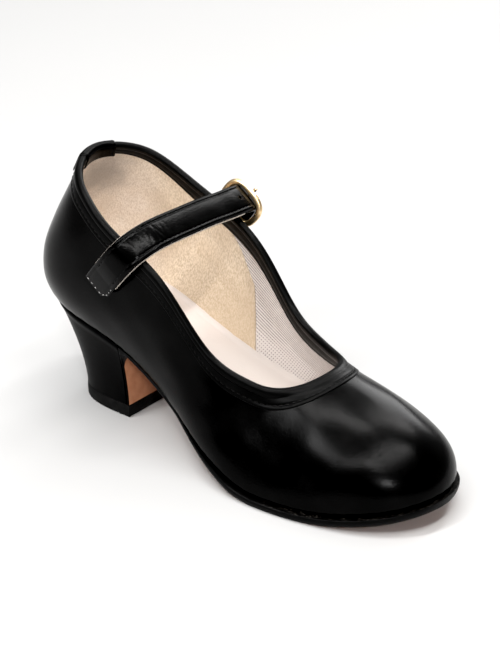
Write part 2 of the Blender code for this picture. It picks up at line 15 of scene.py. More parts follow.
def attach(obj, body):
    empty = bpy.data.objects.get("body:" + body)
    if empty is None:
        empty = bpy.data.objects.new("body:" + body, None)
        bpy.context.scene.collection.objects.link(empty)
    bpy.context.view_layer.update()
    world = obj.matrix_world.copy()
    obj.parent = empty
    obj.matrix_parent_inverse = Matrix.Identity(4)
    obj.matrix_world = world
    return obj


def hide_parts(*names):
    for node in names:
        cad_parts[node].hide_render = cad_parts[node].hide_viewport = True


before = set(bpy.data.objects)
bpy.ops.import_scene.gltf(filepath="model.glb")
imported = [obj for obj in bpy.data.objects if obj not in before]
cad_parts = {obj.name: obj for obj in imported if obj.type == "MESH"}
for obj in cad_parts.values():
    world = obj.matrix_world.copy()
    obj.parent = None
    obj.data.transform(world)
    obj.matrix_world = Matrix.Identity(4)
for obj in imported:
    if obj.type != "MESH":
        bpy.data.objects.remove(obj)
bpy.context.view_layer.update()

# Upper: one skin of smooth black calf, sewn at the back seam, pulled over a last and turned under
# at the sole.  The last is drawn by its sections from the toe back to the heel on the inner side,
# and the outer side mirrors them.
ORIGIN = np.array((0.0946, 0.0007, 0.0))
UP = np.array((0.0, 0.0, 1.0))
OUTER_SIDE = np.array((0.0, 1.0, 0.0))
LENGTH = 0.192
BALL_HALF = 0.0368
BACK_HEIGHT = 0.1063
HEEL_HEIGHT = 0.0440
TOE_SPRING = 0.0080
TOE_SWING = 0.0004
SWING_START = 0.6
ARCH_CUT = 0.0015
ARCH_REACH = 0.1
SOLE_THICKNESS = 0.0032
SHANK_THICKNESS = 0.0022
THICKENING = (0.31, 0.57)
WALL = 0.0016
STEP = 0.002
# foot_x foot_half top_x top_half top_z low_out low_up high_out high_up dip
LAST = np.array((
    (1.000, 0.000, 0.719, 0.000, 0.418, 0.036, 0.170, 0.212, -0.046, 0.000),
    (0.969, 0.432, 0.711, 0.223, 0.410, 0.044, 0.175, 0.176, -0.058, 0.000),
    (0.885, 0.750, 0.688, 0.424, 0.394, 0.046, 0.166, 0.082, -0.074, 0.000),
    (0.771, 0.938, 0.648, 0.565, 0.381, 0.019, 0.113, 0.024, -0.085, 0.000),
    (0.635, 1.000, 0.589, 0.658, 0.401, 0.014, 0.103, 0.009, -0.103, 0.004),
    (0.521, 0.910, 0.510, 0.745, 0.480, 0.028, 0.122, 0.009, -0.132, 0.012),
    (0.396, 0.745, 0.401, 0.804, 0.702, 0.056, 0.169, 0.019, -0.198, 0.026),
    (0.260, 0.647, 0.263, 0.777, 0.828, 0.085, 0.179, 0.038, -0.207, 0.012),
    (0.130, 0.635, 0.172, 0.668, 0.916, 0.106, 0.169, 0.066, -0.207, 0.002),
    (0.028, 0.439, 0.110, 0.446, 0.975, 0.118, 0.162, 0.088, -0.207, 0.000),
    (-0.009, 0.000, 0.077, 0.000, 1.000, 0.118, 0.160, 0.088, -0.207, 0.000)))
WAIST_X = 0.396
SHANK_LINE = ((-0.03, 0.950), (0.04, 0.923), (0.115, 0.877), (0.188, 0.814), (0.25, 0.732), (0.333, 0.564),
              (0.417, 0.377), (0.50, 0.209), (0.573, 0.091), (0.63, 0.023), (0.677, 0.0))
SPRING_LINE = ((0.76, 0.0), (0.823, 0.085), (0.885, 0.310), (0.948, 0.635), (1.0, 0.98), (1.04, 1.25))
TREAD = (0.668, 0.770)


def through(knots, rows, at, closed=False):
    """Smooth curve through rows at the knots, read at each place in at."""
    knots = np.asarray(knots, float)
    rows = np.asarray(rows, float)
    last = len(knots) - 1
    step = np.diff(knots)
    shape = (-1,) + (1,) * (rows.ndim - 1)
    slope = np.diff(rows, axis=0) / step.reshape(shape)
    matrix = np.zeros((last + 1, last + 1))
    bend = np.zeros(rows.shape)
    for i in range(1, last):
        matrix[i, i - 1:i + 2] = step[i - 1], 2 * (step[i - 1] + step[i]), step[i]
        bend[i] = 6 * (slope[i] - slope[i - 1])
    matrix[0, 0] = 1
    matrix[last, last] = 1
    if closed:
        matrix[0, last] = -1
        matrix[last, [0, 1, last - 1, last]] = 2 * (step[0] + step[-1]), step[0], step[-1], 0
        bend[last] = 6 * (slope[0] - slope[-1])
    bend = np.linalg.solve(matrix, bend)
    at = np.atleast_1d(np.asarray(at, float))
    i = np.clip(np.searchsorted(knots, at, side="right") - 1, 0, last - 1)
    before = ((knots[i + 1] - at) / step[i]).reshape(shape)
    after = 1 - before
    square = (step[i] ** 2).reshape(shape)
    straight = before * rows[i] + after * rows[i + 1]
    return straight + ((before ** 3 - before) * bend[i] + (after ** 3 - after) * bend[i + 1]) * square / 6


def unit(vectors):
    """Vectors of length one."""
    return vectors / np.maximum(np.linalg.norm(vectors, axis=-1), 1e-12)[..., None]


def run_along(path):
    """Distance along a path at each of its points."""
    return np.r_[0, np.cumsum(np.linalg.norm(np.diff(path, axis=0), axis=1))]


def sole_underside(x):
    """Height of the sole's underside at x."""
    line = [(place * LENGTH, share * HEEL_HEIGHT) for place, share in SHANK_LINE]
    line += [(place * LENGTH, share * TOE_SPRING) for place, share in SPRING_LINE]
    line = np.array(line)
    x = np.clip(x, line[0, 0], line[-1, 0])
    height = np.maximum(through(line[:, 0], line[:, 1], x), 0)
    return np.where((x > TREAD[0] * LENGTH) & (x < TREAD[1] * LENGTH), 0, height)


def foot_bed(x):
    """Height of the surface that the upper, insole and heel seat lie on."""
    thickness = np.interp(np.asarray(x) / LENGTH, THICKENING, (SHANK_THICKNESS, SOLE_THICKNESS))
    return sole_underside(x) + thickness


def last_rows(turns):
    """The last's sections at turns round the shoe: 0 toe, 0.25 inner side, 0.5 heel."""
    half = LAST.copy()
    half[:, [0, 2]] *= LENGTH
    half[:, [1, 3]] *= BALL_HALF
    half[:, 4:] *= BACK_HEIGHT
    inner = half * np.array((1, -1, 1, -1, 1, 1, 1, 1, 1, 0))
    outer = half[::-1][1:].copy()
    outer[:, 4] -= outer[:, 9]
    inner[:, 1] += ARCH_CUT * np.exp(-((inner[:, 0] / LENGTH - WAIST_X) / ARCH_REACH) ** 2)
    inner[[0, -1], 1] = 0
    reach = run_along(half[:, :2])
    reach = reach / reach[-1] / 2
    knots = np.r_[reach, 1 - reach[::-1][1:]]
    return through(knots, np.vstack((inner, outer)), np.mod(turns, 1), closed=True)


def swung(points):
    """The same points with the forepart curved towards the inner side."""
    share = np.clip((points[:, 0] / LENGTH - SWING_START) / (1 - SWING_START), 0, None)
    return points - OUTER_SIDE * (TOE_SWING * share ** 2)[:, None]


def level_out(turns, x, y):
    """Level unit vectors out of the shoe, square to the edge in columns x and y of the last."""
    along = last_rows(turns + STEP) - last_rows(turns - STEP)
    return unit(np.column_stack((-along[:, y], along[:, x], np.zeros(len(turns)))))


def feather_edge(turns):
    """The edge where the upper meets the sole, and its outward directions."""
    rows = last_rows(turns)
    edge = swung(np.column_stack((rows[:, :2], foot_bed(rows[:, 0]))))
    return edge, level_out(turns, 0, 1)


def on_upper(turns, rises):
    """Points on the outside of the upper, at turns round the shoe and rises from sole to topline."""
    turns, rises = np.broadcast_arrays(turns, rises)
    t = turns.ravel()
    r = rises.ravel()[:, None]
    rows = last_rows(t)
    foot, foot_out = feather_edge(t)
    top = swung(rows[:, 2:5])
    low = foot + foot_out * rows[:, 5:6] + UP * rows[:, 6:7]
    high = top + level_out(t, 2, 3) * rows[:, 7:8] + UP * rows[:, 8:9]
    points = (1 - r) ** 3 * foot + 3 * (1 - r) ** 2 * r * low + 3 * (1 - r) * r ** 2 * high + r ** 3 * top
    return points.reshape(turns.shape + (3,))


def out_of_upper(turns, rises):
    """Unit normals of the upper at the same places."""
    around = on_upper(turns + STEP, rises) - on_upper(turns - STEP, rises)
    lifted = on_upper(turns, rises + STEP) - on_upper(turns, rises - STEP)
    return unit(np.cross(lifted, around))


def round_turns(count):
    """Turns round the shoe, closer together at the toe and the heel."""
    even = np.arange(count) / count
    return even - 0.3 * np.sin(4 * math.pi * even) / (4 * math.pi)


def net(rows, columns, round_rows=False, round_columns=False):
    """Quads over a net of points, closed on itself where it is round."""
    index = np.arange(rows * columns).reshape(rows, columns)
    if round_columns:
        index = np.hstack((index, index[:, :1]))
    if round_rows:
        index = np.vstack((index, index[:1]))
    quads = np.stack((index[:-1, :-1], index[1:, :-1], index[1:, 1:], index[:-1, 1:]), axis=-1)
    return quads.reshape(-1, 4).tolist()


def piece(name, points, faces, finishes, which=None, solid=True):
    """A named mesh in the part's frame, shaded smooth, with a finish for each of its faces."""
    mesh = bpy.data.meshes.new(name)
    mesh.from_pydata((np.asarray(points).reshape(-1, 3) - ORIGIN).tolist(), [], faces)
    for finish in finishes:
        mesh.materials.append(finish)
    if which is not None:
        mesh.polygons.foreach_set("material_index", which)
    if solid:
        bm = bmesh.new()
        bm.from_mesh(mesh)
        bmesh.ops.remove_doubles(bm, verts=bm.verts, dist=2e-6)
        bmesh.ops.dissolve_degenerate(bm, edges=bm.edges, dist=1e-7)
        bmesh.ops.recalc_face_normals(bm, faces=bm.faces)
        bm.to_mesh(mesh)
        bm.free()
    mesh.shade_smooth()
    mesh.set_sharp_from_angle(angle=math.radians(50))
    made = bpy.data.objects.new(name, mesh)
    bpy.context.collection.objects.link(made)
    return made


def thicken(made, thickness, side):
    """Give a skin its thickness, inward (-1) or outward (1) of its face."""
    shell = made.modifiers.new("thickness", "SOLIDIFY")
    shell.thickness = thickness
    shell.offset = side


class Tone:
    """A socket of a finish's nodes, so that its shader maths reads as Python."""

    def __init__(self, tree, socket):
        self.tree = tree
        self.socket = socket

    def node(self, kind, settings, sockets, out=0):
        """Add a node of a kind, with its settings and its sockets' values or links."""
        made = self.tree.nodes.new("ShaderNode" + kind)
        for name, value in settings.items():
            setattr(made, name, value)
        for name, value in sockets.items():
            if isinstance(value, Tone):
                self.tree.links.new(value.socket, made.inputs[name])
            else:
                made.inputs[name].default_value = value
        return Tone(self.tree, made.outputs[out])

    def math(self, operation, first, second):
        return self.node("Math", {"operation": operation}, {0: first, 1: second})

    def __add__(self, other):
        return self.math("ADD", self, other)

    def __radd__(self, other):
        return self.math("ADD", other, self)

    def __sub__(self, other):
        return self.math("SUBTRACT", self, other)

    def __rsub__(self, other):
        return self.math("SUBTRACT", other, self)

    def __mul__(self, other):
        return self.math("MULTIPLY", self, other)

    def __rmul__(self, other):
        return self.math("MULTIPLY", other, self)

    def __truediv__(self, other):
        return self.math("DIVIDE", self, other)

    def __pow__(self, other):
        return self.math("POWER", self, other)


def new_finish(name, colour, roughness, **constants):
    """A Principled finish: the material, its shader and the place on the piece in metres."""
    made = bpy.data.materials.new(name)
    made.use_nodes = True
    shader = made.node_tree.nodes["Principled BSDF"]
    shader.inputs["Base Color"].default_value = (*colour, 1)
    shader.inputs["Roughness"].default_value = roughness
    for socket, value in constants.items():
        shader.inputs[socket.replace("_", " ")].default_value = value
    place = made.node_tree.nodes.new("ShaderNodeTexCoord").outputs["Object"]
    return made, shader, Tone(made.node_tree, place)


def feed(shader, socket, tone):
    """Link a tone to a socket of a shader."""
    tone.tree.links.new(tone.socket, shader.inputs[socket])


def clouds(place, scale, detail=3.0):
    """Soft noise, scale lumps to the metre."""
    return place.node("TexNoise", {}, {"Vector": place, "Scale": scale, "Detail": detail})


def fade(tone, low, high):
    """0 below low, 1 above high, and a smooth step between."""
    return tone.node("MapRange", {"interpolation_type": "SMOOTHSTEP"},
                     {"Value": tone, "From Min": low, "From Max": high})


def blended(mask, first, second):
    """First colour where the mask is 0, second where it is 1."""
    first, second = (tone if isinstance(tone, Tone) else (*tone, 1) for tone in (first, second))
    return mask.node("Mix", {"data_type": "RGBA"}, {0: mask, 6: first, 7: second}, out=2)


def dye(shader, tone, low, high, first, second):
    """Base colour from the first to the second as a tone goes from low to high."""
    feed(shader, "Base Color", blended(fade(tone, low, high), first, second))


def raise_relief(shader, height, depth):
    """Relief from a height of 0 to 1, depth in metres."""
    feed(shader, "Normal", height.node("Bump", {}, {"Height": height, "Distance": depth, "Strength": 1.0}))


def grey(share):
    """A grey that reflects a share of the light."""
    return (share, share, share)


def calf(name, colour, worn, roughness, spread, grain, pores, gloss):
    """Smooth dyed calf: fine pored grain, faint mottling, and a finish that varies a little."""
    made, shader, place = new_finish(name, colour, roughness, Specular_IOR_Level=gloss,
                                     Coat_Roughness=0.2, Coat_IOR=1.4)
    mottle = clouds(place, 70)
    cells = place.node("TexVoronoi", {"feature": "F1"}, {"Vector": place, "Scale": grain})
    pull = clouds(place, 420, 4)
    fine = clouds(place, 2100, 2)
    dye(shader, mottle, 0.35, 0.75, colour, worn)
    feed(shader, "Roughness", roughness + spread * (mottle - 0.5) + spread * (pull - 0.5))
    feed(shader, "Coat Weight", 0.015 * fade(mottle, 0.4, 0.7))
    raise_relief(shader, cells * 0.45 + pull * 0.3 + mottle * 0.3 + fine * 0.45, pores)
    return made


calf_black = calf("black_calf", grey(0.0004), grey(0.0009), roughness=0.21, spread=0.07,
                  grain=1500, pores=0.00005, gloss=0.045)
UPPER_COLUMNS = 336
UPPER_ROWS = 80
FEATHER_TUCK = 0.0014
FOREPART_SPREAD = 0.0010
OUTER_TOE_FILL = 0.0008
LASTING_PULL = 0.00010
UNEVENNESS = 0.00007
CALF_THICKNESS = 0.0009
turns, rises = np.meshgrid(round_turns(UPPER_COLUMNS), np.linspace(0, 1, UPPER_ROWS))
upper_out = out_of_upper(turns, rises)
tuck = FEATHER_TUCK * np.clip(1 - rises / 0.05, 0, 1) ** 2
feather, feather_out = feather_edge(turns.ravel())
forward = np.clip((feather[:, 0] / LENGTH - 0.45) / 0.2, 0, 1).reshape(turns.shape)
spread = FOREPART_SPREAD * forward * (1 - rises) ** 5
outer_toe = np.mod(turns + 0.5, 1) - 0.5 + 0.055
spread += OUTER_TOE_FILL * np.exp(-(outer_toe / 0.05) ** 2) * np.exp(-((rises - 0.22) / 0.2) ** 2)
whole = 2 * math.pi * turns
lasting = LASTING_PULL * np.exp(-(rises / 0.06) ** 2) * np.sin(74 * whole + 2 * np.sin(9 * whole))
uneven = np.sin(5 * whole + 7 * rises) + np.sin(11 * whole - 13 * rises + 1) + np.sin(17 * whole + 19 * rises)
uneven = UNEVENNESS * uneven * np.sin(math.pi * rises)
upper_face = on_upper(turns, rises) + upper_out * (lasting + uneven - tuck)[..., None]
upper_face += feather_out.reshape(turns.shape + (3,)) * spread[..., None]
upper = piece("upper_leather", upper_face, net(UPPER_ROWS, UPPER_COLUMNS, round_columns=True),
              [calf_black], solid=False)
thicken(upper, CALF_THICKNESS, -1)
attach(upper, "root")
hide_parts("upper")

# Quarter lining: beige suede split, glued inside the back half of the upper from the topline to
# the insole.  Its two front edges slant and lie over the vamp's lining.
LINING_EDGE = ((0.0, 0.706), (0.126, 0.7043), (0.629, 0.6992), (0.836, 0.683), (1.0, 0.660))
LINING_TOP = 0.0018
LINING_FOOT = 0.012
LINING_ROWS = 60
LINING_COLUMNS = 200


def rises_below(turns, distances):
    """Rises on the wall at distances down from the topline: a row for each distance."""
    steps = np.linspace(1, 0.4, 80)
    wall = on_upper(turns[None, :], steps[:, None])
    run = np.cumsum(np.linalg.norm(np.diff(wall, axis=0), axis=2), axis=0)
    run = np.vstack((np.zeros(len(turns)), run))
    distances = np.broadcast_to(np.asarray(distances, float), (len(distances), len(turns)))
    return np.array([np.interp(distances[:, k], run[:, k], steps) for k in range(len(turns))]).T


def lining_skin(first_share, front, columns, depth):
    """A lining's face on the wall: from edge to edge round the back, or round the front."""
    share, up = np.meshgrid(np.linspace(0, 1, columns), np.linspace(0, 1, LINING_ROWS))
    edge = np.interp(up, *np.array(LINING_EDGE).T) + first_share
    turns = edge + (2 - 2 * edge) * share if front else (1 - edge) + (2 * edge - 1) * share
    top = rises_below(np.mod(turns[-1], 1), [[LINING_TOP]])[0]
    rises = LINING_FOOT + (top - LINING_FOOT) * up
    soft = 0.00010 * np.sin(61 * turns + 23 * up) * np.sin(math.pi * up)
    return on_upper(turns, rises) - out_of_upper(turns, rises) * (depth + soft)[..., None]


def axis(place, number):
    """One number of a place or direction: 0 for x, 1 for y, 2 for z."""
    return place.node("SeparateXYZ", {}, {0: place}, out=number)


def stretched(place, amounts):
    """A place with its x, y and z multiplied by amounts."""
    return place.node("VectorMath", {"operation": "MULTIPLY"}, {0: place, 1: amounts})


suede, suede_shader, place = new_finish("beige_suede", (0.72, 0.58, 0.43), 0.9, Specular_IOR_Level=0.15,
                                        Sheen_Weight=0.15, Sheen_Roughness=0.4)
nap = clouds(stretched(place, (1.6, 1.6, 0.6)), 1250, 4)
patches = clouds(place, 45)
fibres = clouds(place, 3000, 2)
lengthways = axis(place, 0)
spot = place.node("VectorMath", {"operation": "DISTANCE"}, {0: place, 1: (-0.083, 0.006, 0.0905)}, out=1)
smudge = fade(0.019 - spot + 0.010 * (clouds(place, 160) - 0.5), 0.0, 0.016)
# Forward of the heel the side walls take darker tones than the back: painted shade.
side_wall_shade = fade(lengthways, -0.080, -0.058)
suede_dark = blended(side_wall_shade, (0.80, 0.68, 0.565), (0.52, 0.415, 0.30))
suede_light = blended(side_wall_shade, (0.96, 0.85, 0.74), (0.74, 0.63, 0.50))
suede_tone = blended(fade(nap, 0.36, 0.62), suede_dark, suede_light)
suede_tone = blended(0.3 * fade(fibres, 0.48, 0.66), suede_tone, (0.42, 0.31, 0.21))
# Low on the side walls, under the strap, the suede is darkened: a painted shadow of the strap.
strap_shadow_low = (1 - fade(axis(place, 2), 0.036, 0.066)) * fade(lengthways, -0.06, -0.03)
suede_tone = blended(0.6 * strap_shadow_low, suede_tone, (0.50, 0.385, 0.265))
suede_tone = blended(0.35 * fade(patches, 0.4, 0.7), suede_tone, (0.66, 0.52, 0.37))
suede_tone = blended(0.75 * smudge, suede_tone, (0.30, 0.26, 0.23))
feed(suede_shader, "Base Color", suede_tone)
raise_relief(suede_shader, nap * 0.7 + fibres * 0.5, 0.00018)
quarter_lining = piece("quarter_lining", lining_skin(0, False, LINING_COLUMNS, np.array(WALL + 0.0004)),
                       net(LINING_ROWS, LINING_COLUMNS), [suede], solid=False)
thicken(quarter_lining, 0.0005, 1)
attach(quarter_lining, "root")
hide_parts("upper")

# Vamp lining: pale cotton twill, glued inside the forepart with its ends under the suede.  Its dark
# diagonal ribs break into a dotted weave low on the wall.
RIB_PITCH = 0.00122
PICK_PITCH = 0.00112
twill, twill_shader, place = new_finish("pale_twill", (0.80, 0.75, 0.72), 0.85, Specular_IOR_Level=0.15)
along = axis(place, 0)
upward = axis(place, 2)
ribs = along.math("SINE", (along * 0.55 + upward * 0.83) * (2 * math.pi / RIB_PITCH), 0.0)
picks = along.math("SINE", (along * 0.83 - upward * 0.55) * (2 * math.pi / PICK_PITCH), 0.0)
low_wall = 1 - fade(upward + along * 0.4, 0.016, 0.030)
lines = fade(ribs * (1 - 0.6 * low_wall) + picks * 0.7 * low_wall, 0.15, 0.90)
twill_tone = blended(0.9 * lines, (0.72, 0.665, 0.64), (0.24, 0.21, 0.20))
twill_tone = blended(0.3 * fade(clouds(place, 350), 0.4, 0.7), twill_tone, (0.70, 0.645, 0.61))
# Low on the wall the twill's tone is also darkened: painted shade at the foot of the wall.
feed(twill_shader, "Base Color", blended(0.3 * low_wall, twill_tone, (0.50, 0.445, 0.41)))
raise_relief(twill_shader, 1 - lines, 0.00012)
vamp_lining = piece("vamp_lining", lining_skin(-0.006, True, LINING_COLUMNS, np.array(WALL - 0.0001)),
                    net(LINING_ROWS, LINING_COLUMNS), [twill], solid=False)
thicken(vamp_lining, 0.0004, 1)
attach(vamp_lining, "root")
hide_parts("upper")

# Topline binding: a strip of the same calf folded over a cord along the topline, so that it has a
# slim bead, and stitched through below it.  Its inner half is a satin black facing that narrows
# towards the back seam.
BINDING_COLUMNS = 336
# distance below the topline and height off the wall, in metres
OUTSIDE_FACE = ((0.0071, 0.00004), (0.00705, 0.00030), (0.0068, 0.00048), (0.0062, 0.00052),
                (0.0057, 0.00048), (0.0054, 0.00030), (0.0051, 0.00030), (0.0048, 0.00050),
                (0.0040, 0.00062), (0.0031, 0.00066), (0.0025, 0.00062), (0.0021, 0.00060),
                (0.0017, 0.00072), (0.0012, 0.00086), (0.0005, 0.00092), (0.0, 0.00092))
INSIDE_FACE = ((0.0, 0.00092), (0.0005, 0.00092), (0.0011, 0.00080), (0.0015, 0.00058), (0.0019, 0.00050),
               (0.0024, 0.00062), (0.0034, 0.00086), (0.0045, 0.00086), (0.0053, 0.00066), (0.0058, 0.00062),
               (0.0064, 0.00080), (0.0070, 0.00074), (0.0072, 0.0005))
BACK_FACING = 0.45
BEAD = 0.0019
OVER_DEGREES = (20, 45, 70, 90, 110, 135, 160)


def folded_over(turns, outside, inside, crown, near, narrowing=1.0, lowering=1.0):
    """Closed sections of a strip folded over the topline: one row for each point of the fold."""
    level = np.ones(len(turns))
    crest_out = out_of_upper(turns, level)
    crest = on_upper(turns, level) - crest_out * WALL / 2
    rise = unit(on_upper(turns, level) - on_upper(turns, level - 0.03))

    def wall_rows(face):
        distances = np.array([distance * level for distance, height in face])
        heights = np.array([height * level for distance, height in face])
        rises = rises_below(turns, distances)
        return on_upper(turns, rises) + out_of_upper(turns, rises) * heights[..., None]

    def over_rows(angles, radius):
        angles = np.radians(angles)[:, None, None]
        return crest + (crest_out * np.cos(angles) + rise * np.sin(angles)) * (radius * level)[:, None]

    outside = [(distance, height * (lowering if distance > BEAD else 1.0)) for distance, height in outside]
    inside = [(distance * narrowing, -WALL - height) for distance, height in inside]
    return np.concatenate((
        wall_rows(outside), over_rows(OVER_DEGREES, WALL / 2 + crown), wall_rows(inside),
        wall_rows([(inside[k][0], -WALL - near) for k in (-1, 0)]), over_rows((135, 90, 45), WALL / 2 + near),
        wall_rows([(outside[k][0], near) for k in (-1, 0)])))


binding_calf = calf("binding_calf", grey(0.0006), grey(0.0012), roughness=0.34, spread=0.10,
                    grain=1500, pores=0.00006, gloss=0.044)
binding_turns = round_turns(BINDING_COLUMNS)
from_seam = np.abs(binding_turns - 0.5)
facing_share = BACK_FACING + (1 - BACK_FACING) * np.clip((from_seam - 0.03) / 0.11, 0, 1)
from_toe = np.abs(np.mod(binding_turns + 0.5, 1) - 0.5)
band_share = 0.42 + 0.58 * np.exp(-(from_toe / 0.13) ** 4)
fold = folded_over(binding_turns, OUTSIDE_FACE, INSIDE_FACE, 0.00092, 0.00002, facing_share, band_share)
facing_black, facing_shader, place = new_finish("facing_leather", (0.004, 0.0035, 0.003), 0.42,
                                                Specular_IOR_Level=0.14)
facing_grain = clouds(place, 900, 4)
facing_wear = clouds(place, 90)
dye(facing_shader, facing_wear, 0.35, 0.7, (0.0022, 0.0019, 0.0016), (0.0070, 0.0056, 0.0044))
feed(facing_shader, "Roughness", 0.34 + 0.2 * facing_grain)
raise_relief(facing_shader, facing_grain, 0.00008)
outer_rows = len(OUTSIDE_FACE) + len(OVER_DEGREES) - 1
which = np.zeros((len(fold), BINDING_COLUMNS), int)
which[outer_rows:outer_rows + len(INSIDE_FACE)] = 1
binding = piece("topline_binding_leather", fold, net(len(fold), BINDING_COLUMNS, True, True),
                [binding_calf, facing_black], which.ravel())
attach(binding, "root")
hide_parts("topline_binding")

# Topline stitching: one row of waxed black thread through the binding, its stitches sunk in the
# groove that they pull.
thread, thread_shader, place = new_finish("waxed_thread", grey(0.002), 0.42, Specular_IOR_Level=0.08)
twist = clouds(place, 4000, 2)
dye(thread_shader, twist, 0.35, 0.65, grey(0.0008), (0.0045, 0.0044, 0.0043))
feed(thread_shader, "Roughness", 0.3 + 0.25 * twist)


def at_runs(places, run, values):
    """Points or directions along a path, read at places on its run."""
    return np.stack([np.interp(places, run, values[:, c]) for c in range(3)], axis=-1)


def sewn_row(name, path, out, finish, pitch, length, radius):
    """Stitches along a path: short round threads that dive into the leather at both ends."""
    run = run_along(path)
    count = int(run[-1] / pitch)
    centres = (np.arange(count) + 0.5) * run[-1] / count
    shares = np.array((-0.5, -0.42, -0.2, 0.0, 0.2, 0.42, 0.5))
    swell = np.array((0.35, 0.8, 1.0, 1.0, 1.0, 0.8, 0.35)) * radius
    lift = np.array((-1.2, -0.35, 0.25, 0.4, 0.25, -0.35, -1.2)) * radius
    spin = np.arange(6) * math.pi / 3
    places = centres[:, None] + shares * length
    middle = at_runs(places, run, path)
    up = unit(at_runs(places, run, out))
    ahead = unit(np.gradient(middle, axis=1))
    side = unit(np.cross(ahead, up))
    middle = middle + up * lift[None, :, None]
    ring = side[:, :, None] * np.cos(spin)[:, None] + up[:, :, None] * np.sin(spin)[:, None]
    points = middle[:, :, None] + ring * swell[None, :, None, None]
    one = net(len(shares), 6, round_columns=True) + [list(range(6)), list(range(36, 42))]
    faces = [[index + 42 * k for index in face] for k in range(count) for face in one]
    return piece(name, points, faces, [finish])


stitch_turns = np.linspace(0.0, 1.0, 1200)
stitch_rises = rises_below(stitch_turns, [[0.00525]])[0]
stitch_out = out_of_upper(stitch_turns, stitch_rises)
stitch_lift = 0.00030 * np.interp(stitch_turns, binding_turns, band_share) + 0.00005
stitch_path = on_upper(stitch_turns, stitch_rises) + stitch_out * stitch_lift[:, None]
topline_stitches = sewn_row("topline_stitches", stitch_path, stitch_out, thread,
                            pitch=0.0026, length=0.0021, radius=0.00021)
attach(topline_stitches, "root")
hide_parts("topline_binding")

# Back tab: a short piece of calf folded over the binding at the back seam and glued, its two cut
# ends rolled under.
TAB_SPAN = 0.0215
TAB_COLUMNS = 49
TAB_OUTSIDE = 0.0072
TAB_INSIDE = 0.0042
# share of the way down from the topline, and of the tab's full height there
TAB_FACE = ((0.1, 1.0), (0.3, 1.0), (0.6, 1.0), (0.9, 1.0), (0.95, 0.92), (0.985, 0.6), (1.0, 0.1))
tab_share = np.linspace(-1, 1, TAB_COLUMNS)
tab_turns = 0.5 + TAB_SPAN * tab_share
tab_swell = 0.0005 * np.clip(1 - np.abs(tab_share) ** 14, 0, 1) ** 0.5
tab_roll = 0.00012 * np.exp(-((np.abs(tab_share) - 0.9) / 0.06) ** 2)
tab_height = 0.00098 + tab_swell + tab_roll
tab_low = np.full(TAB_COLUMNS, 0.00096)
inside = [(TAB_INSIDE * share, tab_low + (tab_height - tab_low) * lift) for share, lift in TAB_FACE]
outside = [(TAB_OUTSIDE * share, tab_low + (tab_height - tab_low) * lift) for share, lift in TAB_FACE[::-1]]
tab_fold = folded_over(tab_turns, outside, inside, tab_height, 0.00094)
tab_rows = len(tab_fold)
tab_ends = [[k * TAB_COLUMNS + end for k in range(tab_rows)] for end in (0, TAB_COLUMNS - 1)]
back_tab = piece("back_tab_leather", tab_fold, net(tab_rows, TAB_COLUMNS, True) + tab_ends, [calf_black])
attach(back_tab, "root")
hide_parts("back_tab")

# Insole: a board under a pale glazed sock lining, cut a little inside the wall, its edge curled up
# where it meets the linings and faintly wrinkled at the waist.
SOCK_THICKNESS = 0.0022
SOCK_ROWS = 150
SOCK_COLUMNS = 41
SOCK_CLEARANCE = 0.0005
# x, slant across the shoe and depth of each wrinkle
SOCK_CREASES = ((0.052, 0.5, 0.00025), (0.067, 0.2, 0.0003), (0.083, -0.3, 0.00025), (0.098, 0.4, 0.0002))
sock_turns = np.linspace(0, 0.5, SOCK_ROWS)
inner_edge, inner_out = feather_edge(sock_turns)
outer_edge, outer_out = feather_edge(1 - sock_turns)
inner_edge = inner_edge - inner_out * (WALL + SOCK_CLEARANCE)
outer_edge = outer_edge - outer_out * (WALL + SOCK_CLEARANCE)
outer_edge[[0, -1]] = inner_edge[[0, -1]]
across = np.sin(np.linspace(-1, 1, SOCK_COLUMNS) * math.pi / 2)
share = (across[None, :, None] + 1) / 2
sock = inner_edge[:, None] * (1 - share) + outer_edge[:, None] * share
curl = 0.0016 * np.clip((np.abs(across) - 0.88) / 0.12, 0, 1) ** 2
crease = np.zeros(sock.shape[:2])
for crease_x, slant, depth in SOCK_CREASES:
    off = sock[..., 0] - crease_x - slant * (sock[..., 1] - 0.012)
    crease -= depth * np.exp(-(off / 0.0011) ** 2) * np.clip(sock[..., 1] / 0.02, 0, 1)
bed = foot_bed(sock[..., 0].ravel()).reshape(sock.shape[:2])
sock[..., 2] = bed + 0.0003 + SOCK_THICKNESS + curl + crease
sock_beige, sock_shader, place = new_finish("glazed_sock", (0.87, 0.77, 0.70), 0.55, Specular_IOR_Level=0.25)
sock_pores = clouds(place, 1400, 3)
sock_wear = clouds(place, 45)
sock_tone = blended(fade(sock_wear, 0.3, 0.75), (0.61, 0.55, 0.515), (0.58, 0.515, 0.48))
# The sock is darker towards its front: painted shade under the vamp.
sock_front_shade = fade(axis(place, 0), -0.045, -0.01)
feed(sock_shader, "Base Color", blended(sock_front_shade, sock_tone, (0.49, 0.44, 0.408)))
feed(sock_shader, "Roughness", 0.45 + 0.25 * sock_wear)
raise_relief(sock_shader, sock_pores * 0.5 + clouds(place, 260) * 0.9, 0.00012)
insole = piece("insole_sock", sock, net(SOCK_ROWS, SOCK_COLUMNS), [sock_beige], solid=False)
if insole.data.polygons[SOCK_COLUMNS * 60].normal.z < 0:
    insole.data.flip_normals()
thicken(insole, 0.0018, -1)
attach(insole, "root")
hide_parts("insole")

